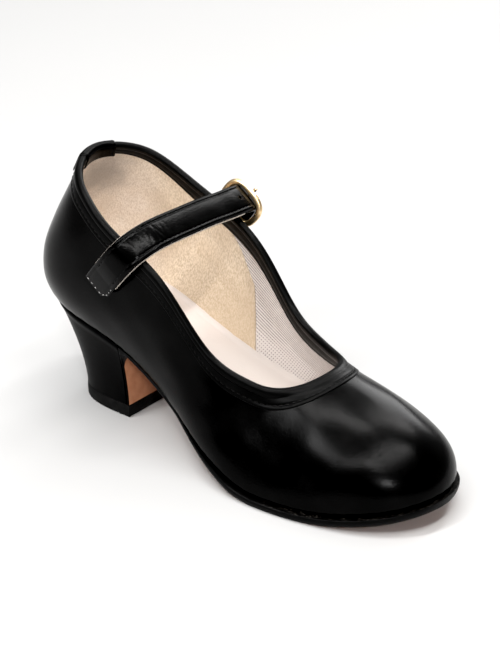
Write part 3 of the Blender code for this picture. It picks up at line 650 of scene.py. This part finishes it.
# Outsole: one cut of tan sole leather, bent through the shank and skived down the front of the
# heel as its flap.  Its edge and the ledge round the forepart are inked black and burnished.
BREAST_X = 0.0465
GAP = 0.0003
LEDGE = 0.0030
LEDGE_GROWTH = (0.42, 0.62)
EDGE_LEAN = 0.0005
EDGE_BEVEL = 0.0004
HEEL_INSET = 0.0002
FLAP_THICKNESS = 0.0013
FLAP_FILLET = 0.0032
FOLD_STEPS = 18
LIFT_HEIGHT = 0.0058
LIFT_LENGTH_SHARE = 0.68
LIFT_BREADTH_SHARE = 0.82
HEEL_FLARE = 1.6
SOLE_STATIONS = 190
search = np.linspace(0.2, 0.5, 3000)
breast_turn = float(np.interp(-BREAST_X, -last_rows(search)[:, 0], search))
seat_edge, seat_out = feather_edge(np.array([1 - breast_turn]))
seat_half = (seat_edge - seat_out * HEEL_INSET)[0, 1]
seat_height = foot_bed(BREAST_X)[0]


def sole_corners(turns, ledge):
    """Top and bottom edge points of the sole at turns on one side."""
    edge, out = feather_edge(turns)
    top = edge + out * ledge
    bottom = edge + out * (ledge - EDGE_LEAN)
    top[:, 2] = foot_bed(top[:, 0]) - 0.0001
    bottom[:, 2] = sole_underside(bottom[:, 0])
    return top, bottom


sole_turns = np.linspace(0, breast_turn, SOLE_STATIONS)[:-7]
ledge = np.interp(feather_edge(sole_turns)[0][:, 0] / LENGTH, LEDGE_GROWTH, (-HEEL_INSET, LEDGE))[:, None]
inner_top, inner_bottom = sole_corners(sole_turns, ledge)
outer_top, outer_bottom = sole_corners(1 - sole_turns, ledge)
flap_back = BREAST_X + GAP
flap_face = flap_back + FLAP_THICKNESS
slope = np.diff(sole_underside(np.array((flap_face, flap_face + 0.001))))[0] / 0.001
ahead = unit(np.array((1.0, slope)))
down = np.array((0.0, -1.0))
spread = math.acos(float(ahead @ down))
corner = np.array((flap_face, sole_underside(flap_face)[0]))
inner_corner = np.array((flap_back, foot_bed(flap_back)[0]))
middle = corner + unit(ahead + down) * FLAP_FILLET / math.sin(spread / 2)
start = corner + ahead * FLAP_FILLET / math.tan(spread / 2) - middle
flap = []
for k in range(FOLD_STEPS + 1):
    angle = (math.pi - spread) * k / FOLD_STEPS
    spun = np.array((start[0] * math.cos(angle) - start[1] * math.sin(angle),
                     start[0] * math.sin(angle) + start[1] * math.cos(angle)))
    from_corner = k / FOLD_STEPS * 6 - 3
    back = inner_corner + (ahead if from_corner < 0 else down) * 0.0006 * abs(from_corner)
    flap.append((back, middle + spun))
for share in np.linspace(0, 1, 12)[1:]:
    height = flap[FOLD_STEPS][1][1] * (1 - share) + (LIFT_HEIGHT + 0.0001) * share
    flap.append((np.array((flap_back, height)), np.array((flap_face, height))))
flap = np.array(flap)
level = np.clip((flap[:, :, 1] - LIFT_HEIGHT) / (seat_height - LIFT_HEIGHT), 0, 1)
flap_half = seat_half * (LIFT_BREADTH_SHARE + (1 - LIFT_BREADTH_SHARE) * level ** HEEL_FLARE)
flap_points = np.stack((flap[:, :, 0], flap_half, flap[:, :, 1]), axis=-1)
inner_top = np.vstack((inner_top, flap_points[:, 0] * (1, -1, 1)))
inner_bottom = np.vstack((inner_bottom, flap_points[:, 1] * (1, -1, 1)))
outer_top = np.vstack((outer_top, flap_points[:, 0]))
outer_bottom = np.vstack((outer_bottom, flap_points[:, 1]))


def towards(first, second, reach):
    """A point a short way from the first towards the second."""
    gap = second - first
    distance = np.linalg.norm(gap, axis=1)[:, None]
    return first + gap * np.minimum(reach / np.maximum(distance, 1e-9), 0.5)


def edge_bulge(top, bottom, other):
    """The middle of an edge, a little proud."""
    return (top + bottom) / 2 + unit(top - other) * 0.00025


def ring_half(top, bottom, other_top, other_bottom):
    """One side of the sole's section, from its top face round the edge to its underside."""
    inward = (0.0060, 0.0009, EDGE_BEVEL)
    return ([towards(top, other_top, reach) for reach in inward]
            + [towards(top, bottom, EDGE_BEVEL), edge_bulge(top, bottom, other_top),
               towards(bottom, top, EDGE_BEVEL)]
            + [towards(bottom, other_bottom, reach) for reach in inward[::-1]])


def band_faces(stations, count):
    """Quads round a band and its two ends."""
    return (net(stations, count, round_columns=True)
            + [list(range(count)), list(range(count * (stations - 1), count * stations))])


sole_ring = np.stack(ring_half(inner_top, inner_bottom, outer_top, outer_bottom)
                     + ring_half(outer_top, outer_bottom, inner_top, inner_bottom)[::-1], axis=1)
sole_tan, tan_shader, place = new_finish("tan_sole_leather", (0.27, 0.115, 0.055), 0.62, Specular_IOR_Level=0.3)
hide = clouds(stretched(place, (0.35, 1.0, 1.0)), 240, 5)
scuffs = clouds(place, 60)
tan_tone = blended(fade(hide, 0.3, 0.72), (0.38, 0.157, 0.077), (0.46, 0.208, 0.1080))
tan_tone = blended(0.4 * fade(scuffs, 0.5, 0.75), tan_tone, (0.32, 0.135, 0.068))
above_lift = axis(place, 2) - LIFT_HEIGHT
off_middle = place.math("ABSOLUTE", axis(place, 1) + float(ORIGIN[1]), 0.0)
arch = (off_middle / (0.0193 + above_lift * 0.14)) ** 11 + (above_lift / 0.0238) ** 5
inked = fade(arch, 0.90, 1.0) * fade(axis(place, 0) * -1.0, 0.0435, 0.0445)
feed(tan_shader, "Base Color", blended(inked, tan_tone, grey(0.001)))
feed(tan_shader, "Roughness", 0.5 + 0.25 * hide)
raise_relief(tan_shader, hide, 0.00012)
edge_ink, ink_shader, place = new_finish("inked_edge", grey(0.001), 0.36, Specular_IOR_Level=0.06)
crumbs = clouds(place, 1100, 4)
strokes = clouds(stretched(place, (0.2, 0.2, 1.0)), 900, 3)
facing = place.node("NewGeometry", {}, {}, out=1)
# Pale specks on the ledge's upward faces, forward of the heel: painted glints of light on the burnished ledge.
painted_glints = fade(crumbs, 0.56, 0.70) * fade(axis(facing, 2), 0.5, 0.8)
painted_glints = painted_glints * fade(axis(place, 0), 0.035, 0.055)
feed(ink_shader, "Base Color", blended(painted_glints, grey(0.0007), (0.040, 0.036, 0.032)))
feed(ink_shader, "Roughness", 0.24 + 0.35 * strokes)
raise_relief(ink_shader, crumbs * 0.6 + strokes * 0.6, 0.0002)
stations = len(sole_ring)
around_sole = sole_ring.shape[1]
which = np.ones((stations - 1, around_sole), int)
which[:, 6:11] = 0
outsole = piece("outsole_leather", sole_ring, band_faces(stations, around_sole), [sole_tan, edge_ink],
                np.r_[which.ravel(), 1, 1])
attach(outsole, "root")
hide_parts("outsole")

# Heel: a block turned to a flare, covered in black leather that is wrapped from the breast and
# glued, with a small rolled lip under the seat.  It is nailed through the seat.
HEEL_COLUMNS = 97
HEEL_LEVELS = 44
# level, and how far the cover stands out there
HEEL_LIP = ((0.88, 0.0), (0.93, 0.0003), (0.96, 0.0004), (0.98, 0.0001), (1.0, -0.0006))


def heel_ring(level):
    """Outline of the heel at a level, 0 at its foot and 1 at its seat, from inner to outer corner."""
    edge, out = feather_edge(np.linspace(breast_turn, 1 - breast_turn, HEEL_COLUMNS))
    seat = edge - out * HEEL_INSET
    seat[:, 0] = np.minimum(seat[:, 0], BREAST_X)
    seat[[0, -1], 0] = BREAST_X
    grown = level ** HEEL_FLARE
    ring = seat.copy()
    ring[:, 0] = BREAST_X - (BREAST_X - seat[:, 0]) * (LIFT_LENGTH_SHARE + (1 - LIFT_LENGTH_SHARE) * grown)
    ring[:, 1] = seat[:, 1] * (LIFT_BREADTH_SHARE + (1 - LIFT_BREADTH_SHARE) * grown)
    foot = LIFT_HEIGHT + 0.0001
    ring[:, 2] = foot + (foot_bed(seat[:, 0]) - foot) * level
    return ring


def ladder(ring):
    """Strips between the two sides of a ring."""
    low, high = 0, len(ring) - 1
    strips = []
    while high - low > 2:
        strips.append([ring[low], ring[low + 1], ring[high - 1], ring[high]])
        low += 1
        high -= 1
    return strips + [[ring[low], ring[low + 1], ring[high]]]


heel_rings = np.array([heel_ring(level) for level in np.linspace(0, 1, HEEL_LEVELS)])
heel_middle = heel_rings.mean(axis=1, keepdims=True)
heel_lip = np.interp(np.linspace(0, 1, HEEL_LEVELS), *np.array(HEEL_LIP).T)
heel_rings += unit((heel_rings - heel_middle) * (1, 1, 0)) * heel_lip[:, None, None]
heel_rings[:, [0, -1], 0] = BREAST_X
heel_faces = net(HEEL_LEVELS, HEEL_COLUMNS, round_columns=True)
heel_faces += ladder(list(range(HEEL_COLUMNS)))
heel_faces += ladder(list(range(HEEL_COLUMNS * (HEEL_LEVELS - 1), HEEL_COLUMNS * HEEL_LEVELS)))
heel_black = calf("heel_cover_leather", (0.0007, 0.0007, 0.0008), grey(0.0015), roughness=0.36, spread=0.12,
                  grain=1500, pores=0.00006, gloss=0.026)
heel = piece("heel_block", heel_rings, heel_faces, [heel_black])
rounding = heel.modifiers.new("rounded corners", "BEVEL")
rounding.width = 0.0005
rounding.segments = 3
rounding.limit_method = "ANGLE"
rounding.angle_limit = math.radians(45)
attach(heel, "root")
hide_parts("heel")

# Top lift: a moulded rubber plate nailed under the heel and the flap's end, trimmed flush with
# the block, its edge ground by hand.
# height, and how far the edge stands out there
LIFT_EDGE = ((0.0, -0.0005), (0.0002, -0.0002), (0.0005, 0.0), (0.0030, 0.0001), (0.0052, 0.0),
             (0.00555, -0.0002), (0.0057, -0.0006))
lift_ring = heel_ring(0.0)
lift_corner = lift_ring[[-1, 0]].copy()
lift_corner[:, 0] = flap_face
front_share = np.linspace(0, 1, 9)[:, None]
lift_ring = np.vstack((lift_ring, lift_corner[:1] * (1 - front_share) + lift_corner[1:] * front_share))
lift_middle = lift_ring.mean(axis=0)
lift_levels = []
for height, grow in LIFT_EDGE:
    ring = lift_ring + unit((lift_ring - lift_middle) * (1, 1, 0)) * grow
    ring[:, 2] = height
    lift_levels.append(ring)
lift_levels = np.array(lift_levels)
lift_faces = band_faces(*lift_levels.shape[:2])
rubber, rubber_shader, place = new_finish("ground_rubber", grey(0.002), 0.6, Specular_IOR_Level=0.07)
grind = clouds(stretched(place, (0.3, 0.3, 1.0)), 1600, 3)
dye(rubber_shader, clouds(place, 200), 0.4, 0.7, grey(0.003), (0.007, 0.0068, 0.0066))
feed(rubber_shader, "Roughness", 0.45 + 0.3 * grind)
raise_relief(rubber_shader, grind, 0.00012)
top_lift = piece("heel_top_lift_rubber", lift_levels, lift_faces, [rubber])
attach(top_lift, "root")
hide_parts("heel_top_lift")

# Strap: a glossy calf face over a pale split lining, stitched together along both edges.  One end
# is sewn flat on the inner quarter; the other passes under the buckle's rim and hangs beyond it.
STRAP_PITCH = math.radians(37)
STRAP_ACROSS = np.array((math.cos(STRAP_PITCH), 0.0, -math.sin(STRAP_PITCH)))
STRAP_FACE = np.array((math.sin(STRAP_PITCH), 0.0, math.cos(STRAP_PITCH)))
FRAME_TURN = math.radians(-103)
FRAME_ALONG = OUTER_SIDE * math.cos(FRAME_TURN) + STRAP_FACE * math.sin(FRAME_TURN)
FRAME_OUT = OUTER_SIDE * -math.sin(FRAME_TURN) + STRAP_FACE * math.cos(FRAME_TURN)
FRAME_RIM = np.array((0.0665, 0.0379, 0.0882))
STRAP_ROUTE = ((0.0450, -0.0327, 0.0645), (0.0515, -0.0344, 0.0718), (0.0578, -0.0350, 0.0790),
               (0.0628, -0.0327, 0.0853), (0.0650, -0.0262, 0.0885), (0.0653, -0.0150, 0.0893),
               (0.0653, 0.0000, 0.0888), (0.0655, 0.0130, 0.0883), (0.0658, 0.0230, 0.0876))
STRAP_PASSES = ((0.0031, -0.0080), (0.00285, -0.0042), (0.0029, -0.0012), (0.0041, 0.0013), (0.0066, 0.0026),
                (0.0098, 0.0030), (0.0140, 0.0030), (0.0175, 0.0029), (0.0200, 0.0026))
STRAP_HALF = 0.0065
STRAP_STATIONS = 320
STITCH_IN = 0.0046
LINING_END = 0.0905
# run along the strap, slant across it, width and depth of each crease
STRAP_CREASES = (
    (0.0318, 0.3, 0.0006, 0.00005), (0.0334, -0.2, 0.0005, 0.00004), (0.0352, 0.4, 0.0006, 0.00006),
    (0.0368, 0.1, 0.0005, 0.00005), (0.0385, -0.3, 0.0006, 0.00007), (0.0402, 0.2, 0.0005, 0.00005),
    (0.0418, -0.2, 0.0006, 0.00006), (0.0437, 0.4, 0.0006, 0.00005), (0.0460, -0.1, 0.0007, 0.00004),
    (0.0489, 0.2, 0.0008, 0.00003), (0.0296, -0.4, 0.0007, 0.00004), (0.0276, 0.2, 0.0007, 0.00003))


def buckle_point(across, along, out):
    """A place on the buckle, from the middle of its rim."""
    return FRAME_RIM + STRAP_ACROSS * across + FRAME_ALONG * along + FRAME_OUT * out


def route_line(route, stations):
    """Even points on a band's route, the directions out of its face, and the run along it."""
    route = np.array(route)
    knots = run_along(route)
    run = np.linspace(0, knots[-1], stations)
    middle = through(knots, route, run)
    return middle, unit(np.cross(STRAP_ACROSS, np.gradient(middle, axis=0))), run


strap_line, strap_out, strap_run = route_line(
    STRAP_ROUTE + tuple(buckle_point(0, along, out) for along, out in STRAP_PASSES), STRAP_STATIONS)
strap_end = strap_run[-1]
tip = np.clip((strap_run - strap_end + 0.0055) / 0.0055, 0, 1)
strap_taper = 1 - 0.62 * tip ** 3
clipped = 1 - 0.38 * np.clip(1 - strap_run / 0.0042, 0, 1)
flattened = np.interp(strap_run, (0, 0.010, 0.018), (0.35, 0.5, 1.0))
u = np.sin(np.linspace(-1, 1, 57) * math.pi / 2 * 0.985)
u = u / u[-1]
off = np.abs(u) * STRAP_HALF
crown = 0.00104 + 0.00042 * (1 - (off / STRAP_HALF) ** 2)
crown -= 0.00016 * np.exp(-((off - STITCH_IN) / 0.00040) ** 2)
crown -= 0.00070 * np.clip((off - 0.0058) / 0.0007, 0, 1) ** 2
relief = np.repeat(crown[None, :], STRAP_STATIONS, axis=0)
for place_run, slant, width, depth in STRAP_CREASES:
    away = strap_run[:, None] - place_run - slant * u[None, :] * STRAP_HALF
    relief -= depth * np.exp(-(away / width) ** 2) * (1 - u[None, :] ** 4)
relief = relief * np.where(tip > 0.98, 0.75, 1)[:, None] * flattened[:, None]
breadth = u[None, :] * STRAP_HALF * strap_taper[:, None] * np.where(u[None, :] > 0, clipped[:, None], 1)
strap_top = strap_line[:, None] + STRAP_ACROSS * breadth[..., None] + strap_out[:, None] * relief[..., None]
strap_back = strap_line[:, None] + STRAP_ACROSS * breadth[:, ::-1, None] + strap_out[:, None] * -0.00005
strap_ring = np.concatenate((strap_top, strap_back), axis=1)
ring_count = strap_ring.shape[1]
strap_black = calf("strap_calf", grey(0.0005), grey(0.0010), roughness=0.18, spread=0.10,
                   grain=1300, pores=0.00004, gloss=0.050)
strap = piece("strap_leather", strap_ring, band_faces(STRAP_STATIONS, ring_count), [strap_black])
split, split_shader, place = new_finish("pale_split", (0.55, 0.49, 0.43), 0.85, Specular_IOR_Level=0.2)
split_nap = clouds(place, 1200, 4)
dye(split_shader, split_nap, 0.3, 0.7, (0.46, 0.40, 0.34), (0.66, 0.60, 0.54))
raise_relief(split_shader, split_nap, 0.0002)
lining_half = (STRAP_HALF + 0.00018) * strap_taper - 0.0014 * np.clip((0.011 - strap_run) / 0.004, 0, 1)
corners = ((1, -0.0001), (1, -0.0009), (0.94, -0.0012), (-0.94, -0.0012), (-1, -0.0009), (-1, -0.0001))
lining_sides = {True: lining_half * clipped, False: lining_half}
strap_under = np.stack([strap_line + STRAP_ACROSS * (side * lining_sides[side > 0])[:, None] + strap_out * height
                        for side, height in corners], axis=1)
# Past the first hole and at the sewn end the lining takes the black calf finish.
calf_lined_runs = ((strap_run[:-1] > LINING_END) | (strap_run[:-1] < 0.006)).astype(int)
strap_lining = piece("strap_lining", strap_under, band_faces(STRAP_STATIONS, len(corners)),
                     [split, strap_black], np.r_[np.repeat(calf_lined_runs, len(corners)), 1, 1])


def punch(made, at, axis, radius, reach):
    """Cut a round hole through a piece and keep the cut mesh."""
    axis = unit(axis)
    side = unit(np.cross(axis, STRAP_ACROSS))
    other = np.cross(axis, side)
    spin = np.linspace(0, 2 * math.pi, 24, endpoint=False)[:, None]
    circle = (side * np.cos(spin) + other * np.sin(spin)) * radius
    rod = np.array((at - axis * reach + circle, at + axis * reach + circle))
    cutter = piece("punch", rod, band_faces(2, 24), [made.data.materials[0]])
    cut = made.modifiers.new("hole", "BOOLEAN")
    cut.solver = "EXACT"
    cut.object = cutter
    shaped = bpy.data.meshes.new_from_object(made.evaluated_get(bpy.context.evaluated_depsgraph_get()))
    made.modifiers.clear()
    made.data = shaped
    bpy.data.objects.remove(cutter)


HOLE_RUNS = (0.0925, 0.1000, 0.1085)
HOLE_RADIUS = 0.00085
for hole_run in HOLE_RUNS:
    k = int(np.searchsorted(strap_run, hole_run))
    for band in (strap, strap_lining):
        punch(band, strap_line[k], strap_out[k], HOLE_RADIUS, 0.003)
for band in (strap, strap_lining):
    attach(band, "root")
    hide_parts("strap")

# Strap stitching: a row near each edge, and a box of thread that holds the sewn end to the
# quarter, painted pale grey: a painted highlight of light on the thread.
keep = (strap_run > 0.012) & (strap_run < strap_end - 0.006)
for name, side in (("strap_stitches_back", -1), ("strap_stitches_front", 1)):
    row = strap_line + STRAP_ACROSS * (side * STITCH_IN) + strap_out * 0.00096
    stitches = sewn_row(name, row[keep], strap_out[keep], thread, pitch=0.0024, length=0.0018, radius=0.00018)
    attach(stitches, "root")
    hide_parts("strap")
# The box's thread is painted pale grey: a painted highlight where light catches it.
pale_thread, pale_shader, place = new_finish("pale_sheen_thread", (0.20, 0.195, 0.19), 0.5, Specular_IOR_Level=0.5)
dye(pale_shader, clouds(place, 1500, 2), 0.4, 0.6, grey(0.03), (0.32, 0.31, 0.30))
box_runs = np.r_[np.full(30, 0.0009), np.linspace(0.0009, 0.0040, 12), np.linspace(0.0040, 0.0100, 18)]
box_across = np.r_[np.linspace(-0.0060, 0.0036, 30), np.linspace(0.0036, 0.0056, 12), np.full(18, 0.0057)]
box_out = at_runs(box_runs, strap_run, strap_out)
box_path = at_runs(box_runs, strap_run, strap_line) + STRAP_ACROSS * box_across[:, None] + box_out * 0.00045
box_stitches = sewn_row("strap_box_stitches", box_path, box_out, pale_thread,
                        pitch=0.0022, length=0.0013, radius=0.00022)
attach(box_stitches, "root")
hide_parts("strap")

# Buckle frame: a D of cast and gold-plated brass, its curved rim over the strap and its straight
# side held by the tab.
FRAME_LENGTH = 0.0202
FRAME_WIDTH = 0.0152
FRAME_WIRE = 0.00125
FRAME_COLUMNS = 144
gold, gold_shader, place = new_finish("plated_gold", (0.86, 0.60, 0.29), 0.22, Metallic=1.0)
tarnish = clouds(place, 500, 3)
dye(gold_shader, tarnish, 0.4, 0.75, (1.0, 0.76, 0.45), (0.88, 0.60, 0.30))
feed(gold_shader, "Roughness", 0.20 + 0.22 * tarnish)
raise_relief(gold_shader, clouds(place, 1500, 2), 0.00003)
half = FRAME_LENGTH / 2 - FRAME_WIRE
deep = FRAME_WIDTH - 2 * FRAME_WIRE
around = np.linspace(0, 2 * math.pi, 2000)
power = np.where(np.sin(around) < 0, 0.75, 0.60)
frame_across = np.sign(np.cos(around)) * np.abs(np.cos(around)) ** power * half
frame_along = deep / 2 + np.sign(np.sin(around)) * np.abs(np.sin(around)) ** power * deep / 2
frame_run = run_along(np.column_stack((frame_across, frame_along)))
even = np.linspace(0, frame_run[-1], FRAME_COLUMNS, endpoint=False)
frame_across = np.interp(even, frame_run, frame_across)
frame_along = np.interp(even, frame_run, frame_along)
for smoothing in range(6):
    frame_across = (np.roll(frame_across, 1) + 2 * frame_across + np.roll(frame_across, -1)) / 4
    frame_along = (np.roll(frame_along, 1) + 2 * frame_along + np.roll(frame_along, -1)) / 4
frame_path = np.array([buckle_point(a, b, 0) for a, b in zip(frame_across, frame_along)])
frame_side = unit(np.cross(np.roll(frame_path, -1, 0) - np.roll(frame_path, 1, 0), FRAME_OUT))
spin = np.linspace(0, 2 * math.pi, 24, endpoint=False)
flat = np.abs(np.cos(spin)) ** 0.85 * np.sign(np.cos(spin))
tall = np.abs(np.sin(spin)) ** 0.85 * np.sign(np.sin(spin))
frame_tube = (frame_path[:, None] + frame_side[:, None] * (flat * 1.08 * FRAME_WIRE)[:, None]
              + FRAME_OUT * (tall * 0.95 * FRAME_WIRE)[:, None])
buckle_frame = piece("buckle_frame_gold", frame_tube, net(FRAME_COLUMNS, 24, True, True), [gold])
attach(buckle_frame, "root")
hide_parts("buckle_frame")

# Buckle prong: a gold pin on a sleeve round the frame's hinge side, through the strap's hole and
# over the rim, where its tip stands proud and is painted dark: a painted dark reflection.
PRONG_RADIUS = 0.0008
PRONG_STATIONS = 90
PRONG_SIDES = 16
# along the buckle from its rim, and out of its face
PRONG_ROUTE = ((deep - 0.0004, 0.0), (deep - 0.0022, 0.0), (0.0085, 0.0), (0.0057, 0.0005), (0.0029, 0.0013),
               (0.0006, 0.00215), (-0.0010, 0.0023), (-0.0021, 0.0021))
# across the buckle, and radius
SLEEVE = ((-0.0017, 0.00128), (-0.0016, 0.0015), (0.0016, 0.0015), (0.0017, 0.00128))
prong_path = np.array([buckle_point(0, along, out) for along, out in PRONG_ROUTE])
knots = run_along(prong_path)
prong_line = through(knots, prong_path, np.linspace(0, knots[-1], PRONG_STATIONS))
prong_side = unit(np.cross(np.gradient(prong_line, axis=0), STRAP_ACROSS))
prong_share = np.linspace(0, 1, PRONG_STATIONS)
prong_end = np.sqrt(np.clip((1.004 - prong_share) / 0.05, 0.02, 1))
prong_radius = PRONG_RADIUS * (1 - 0.15 * prong_share) * prong_end
spin = np.linspace(0, 2 * math.pi, PRONG_SIDES, endpoint=False)
prong_round = prong_side[:, None] * np.cos(spin)[:, None] + STRAP_ACROSS * np.sin(spin)[:, None]
prong_tube = prong_line[:, None] + prong_round * prong_radius[:, None, None]
sleeve = np.array([buckle_point(across, deep + radius * math.cos(angle), radius * math.sin(angle))
                   for across, radius in SLEEVE for angle in spin])
prong_faces = band_faces(PRONG_STATIONS, PRONG_SIDES)
prong_faces += [[index + PRONG_STATIONS * PRONG_SIDES for index in face]
                for face in band_faces(len(SLEEVE), PRONG_SIDES)]
# The stretch of pin over the rim is painted dark: a painted dark reflection.
dark_reflection, dark_reflection_shader, place = new_finish("prong_painted_reflection", (0.03, 0.022, 0.012), 0.4, Metallic=1.0)
dye(dark_reflection_shader, clouds(place, 2500, 3), 0.4, 0.6, (0.012, 0.010, 0.008), (0.09, 0.06, 0.03))
which = np.zeros(len(prong_faces), int)
dark_reflection_span = (prong_share[:-1] > 0.80) & (prong_share[:-1] < 0.955)
which[:PRONG_SIDES * len(dark_reflection_span)] = np.repeat(dark_reflection_span, PRONG_SIDES)
buckle_prong = piece("buckle_prong_gold", np.vstack((prong_tube.reshape(-1, 3), sleeve)), prong_faces,
                     [gold, dark_reflection], which)
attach(buckle_prong, "root")
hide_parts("buckle_prong")

# Buckle tab: ribbed black elastic, looped behind the frame's straight side and sewn flat on the
# outer quarter.
TAB_ROUTE = ((0.0505, 0.0325, 0.0600), (0.0534, 0.0327, 0.0645), (0.0557, 0.0329, 0.0688),
             (0.0574, 0.0330, 0.0729))
TAB_HALF = 0.0050
TAB_STATIONS = 90
hook_reach = FRAME_WIRE + GAP + 0.0009
tab_hook = tuple(buckle_point(0, deep + hook_reach * math.cos(a), -hook_reach * math.sin(a))
                 for a in np.radians((50, 80, 110)))
tab_line, tab_out, tab_run = route_line(TAB_ROUTE + tab_hook, TAB_STATIONS)
u = np.linspace(-1, 1, 45)
ribs = 0.00078 + 0.00012 * np.cos(u * math.pi * 11) - 0.0005 * np.clip((np.abs(u) - 0.93) / 0.07, 0, 1) ** 2
tab_across = STRAP_ACROSS * (u * TAB_HALF)[:, None]
tab_front = tab_line[:, None] + tab_across + tab_out[:, None] * ribs[:, None]
tab_rear = tab_line[:, None] + tab_across[::-1] - tab_out[:, None] * ribs[::-1][:, None]
tab_ring = np.concatenate((tab_front, tab_rear), axis=1)
elastic, elastic_shader, place = new_finish("ribbed_elastic", grey(0.006), 0.7, Specular_IOR_Level=0.1)
weave = clouds(place, 2200, 2)
dye(elastic_shader, weave, 0.35, 0.65, (0.004, 0.004, 0.0045), grey(0.016))
raise_relief(elastic_shader, weave, 0.0002)
buckle_tab = piece("buckle_tab_elastic", tab_ring, band_faces(TAB_STATIONS, 90), [elastic])
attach(buckle_tab, "root")
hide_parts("buckle_tab")
tab_box_runs = np.r_[np.full(24, 0.0012), np.linspace(0.0012, 0.0075, 20), np.full(24, 0.0075)]
box_side = np.linspace(-0.0044, 0.0044, 24)
tab_box_across = np.r_[box_side, np.full(20, 0.0044), box_side[::-1]]
tab_box_out = at_runs(tab_box_runs, tab_run, tab_out)
tab_box = at_runs(tab_box_runs, tab_run, tab_line) + STRAP_ACROSS * tab_box_across[:, None] + tab_box_out * 0.00085
tab_stitches = sewn_row("buckle_tab_stitches", tab_box, tab_box_out, thread,
                        pitch=0.0021, length=0.0016, radius=0.00019)
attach(tab_stitches, "root")
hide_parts("buckle_tab")

# Studio: a seamless pale floor under narrow overhead strips, which draw the highlights on the
# leather, with panels and softboxes behind and at the inner side, a small lamp in front and a dim
# white room.  The black level is raised a little, so that the darkest leather comes out black.
WARM = (1.0, 0.985, 0.97)
WHITE = (1.0, 1.0, 1.0)
floor_white, floor_shader, place = new_finish("white_floor", grey(0.40), 0.7, Specular_IOR_Level=0.1)
feed(floor_shader, "Base Color", blended(clouds(place, 6), grey(0.395), grey(0.405)))
reach = np.linspace(-4, 4, 9)
floor_x, floor_y = np.meshgrid(reach, reach)
floor_points = np.stack((floor_x, floor_y, np.zeros_like(floor_x)), axis=-1) + ORIGIN
floor = piece("floor", floor_points, net(9, 9), [floor_white], solid=False)
if floor.data.polygons[0].normal.z < 0:
    floor.data.flip_normals()


def soft_light(name, place, aim, size, power, colour, turn):
    """A soft rectangular light at a place, faced to its aim and turned in its own plane by degrees."""
    lamp = bpy.data.lights.new(name, "AREA")
    lamp.shape = "RECTANGLE"
    lamp.size, lamp.size_y = size
    lamp.energy = power
    lamp.color = colour
    made = bpy.data.objects.new(name, lamp)
    made.matrix_world = looking(place, aim) @ Matrix.Rotation(math.radians(turn), 4, "Z")
    bpy.context.collection.objects.link(made)


def looking(place, aim):
    """The matrix of a lamp or camera at a place that looks at its aim."""
    back = Vector(place) - Vector(aim)
    return Matrix.Translation(place) @ back.to_track_quat("Z", "Y").to_matrix().to_4x4()


# name, place, aim, size, power, colour, turn
for lamp in (
        ("front_strip", (0.50, -0.10, 1.25), (0.50, -0.10, 0.0), (0.08, 1.40), 16.0, WARM, 0),
        ("middle_strip", (-0.20, -0.25, 1.25), (-0.20, -0.25, 0.0), (0.09, 1.25), 15.5, WARM, -29),
        ("back_overhead", (0.06, 0.90, 1.25), (0.05, 0.0, 0.0), (0.15, 1.00), 8.4, WARM, 0),
        ("back_panel", (-0.30, 1.50, 0.75), (-0.10, 0.0, 0.3), (0.50, 0.90), 12.0, WHITE, 0),
        ("far_softbox", (-0.80, 0.90, 1.10), (-0.60, 0.70, 0.0), (0.90, 0.90), 7.5, WHITE, 0),
        ("near_strip", (0.20, -0.95, 1.25), (0.15, -0.3, 0.0), (0.08, 0.90), 8.0, WARM, -43),
        ("side_softbox", (-0.31, -0.92, 0.84), (0.05, 0.0, 0.03), (0.22, 0.38), 6.6, WHITE, 0),
        ("front_lamp", (0.615, -0.60, 0.545), (0.08, -0.02, 0.03), (0.08, 0.08), 3.2, WHITE, 0)):
    soft_light(*lamp)
world = bpy.data.worlds.new("white_room")
world.use_nodes = True
world.node_tree.nodes["Background"].inputs["Color"].default_value = (1.0, 1.0, 1.0, 1)
world.node_tree.nodes["Background"].inputs["Strength"].default_value = 0.20
bpy.context.scene.world = world
grade = bpy.context.scene.view_settings
grade.view_transform = "Standard"
grade.use_curve_mapping = True
grade.curve_mapping.black_level = grey(0.0026)

# Camera: a long lens, held as in the photograph above the shoe's inner side and in front of its
# toe, with the shoe in the middle of the picture.
camera = bpy.data.cameras.new("camera")
camera.sensor_fit = "VERTICAL"
camera.sensor_height = 36.0
camera.lens = 104.0
camera.clip_start = 0.05
viewer = bpy.data.objects.new("camera", camera)
viewer.matrix_world = looking((0.43527, -0.52132, 0.40397), (0.0053, -0.0036, 0.0507))
bpy.context.collection.objects.link(viewer)
bpy.context.scene.camera = viewer
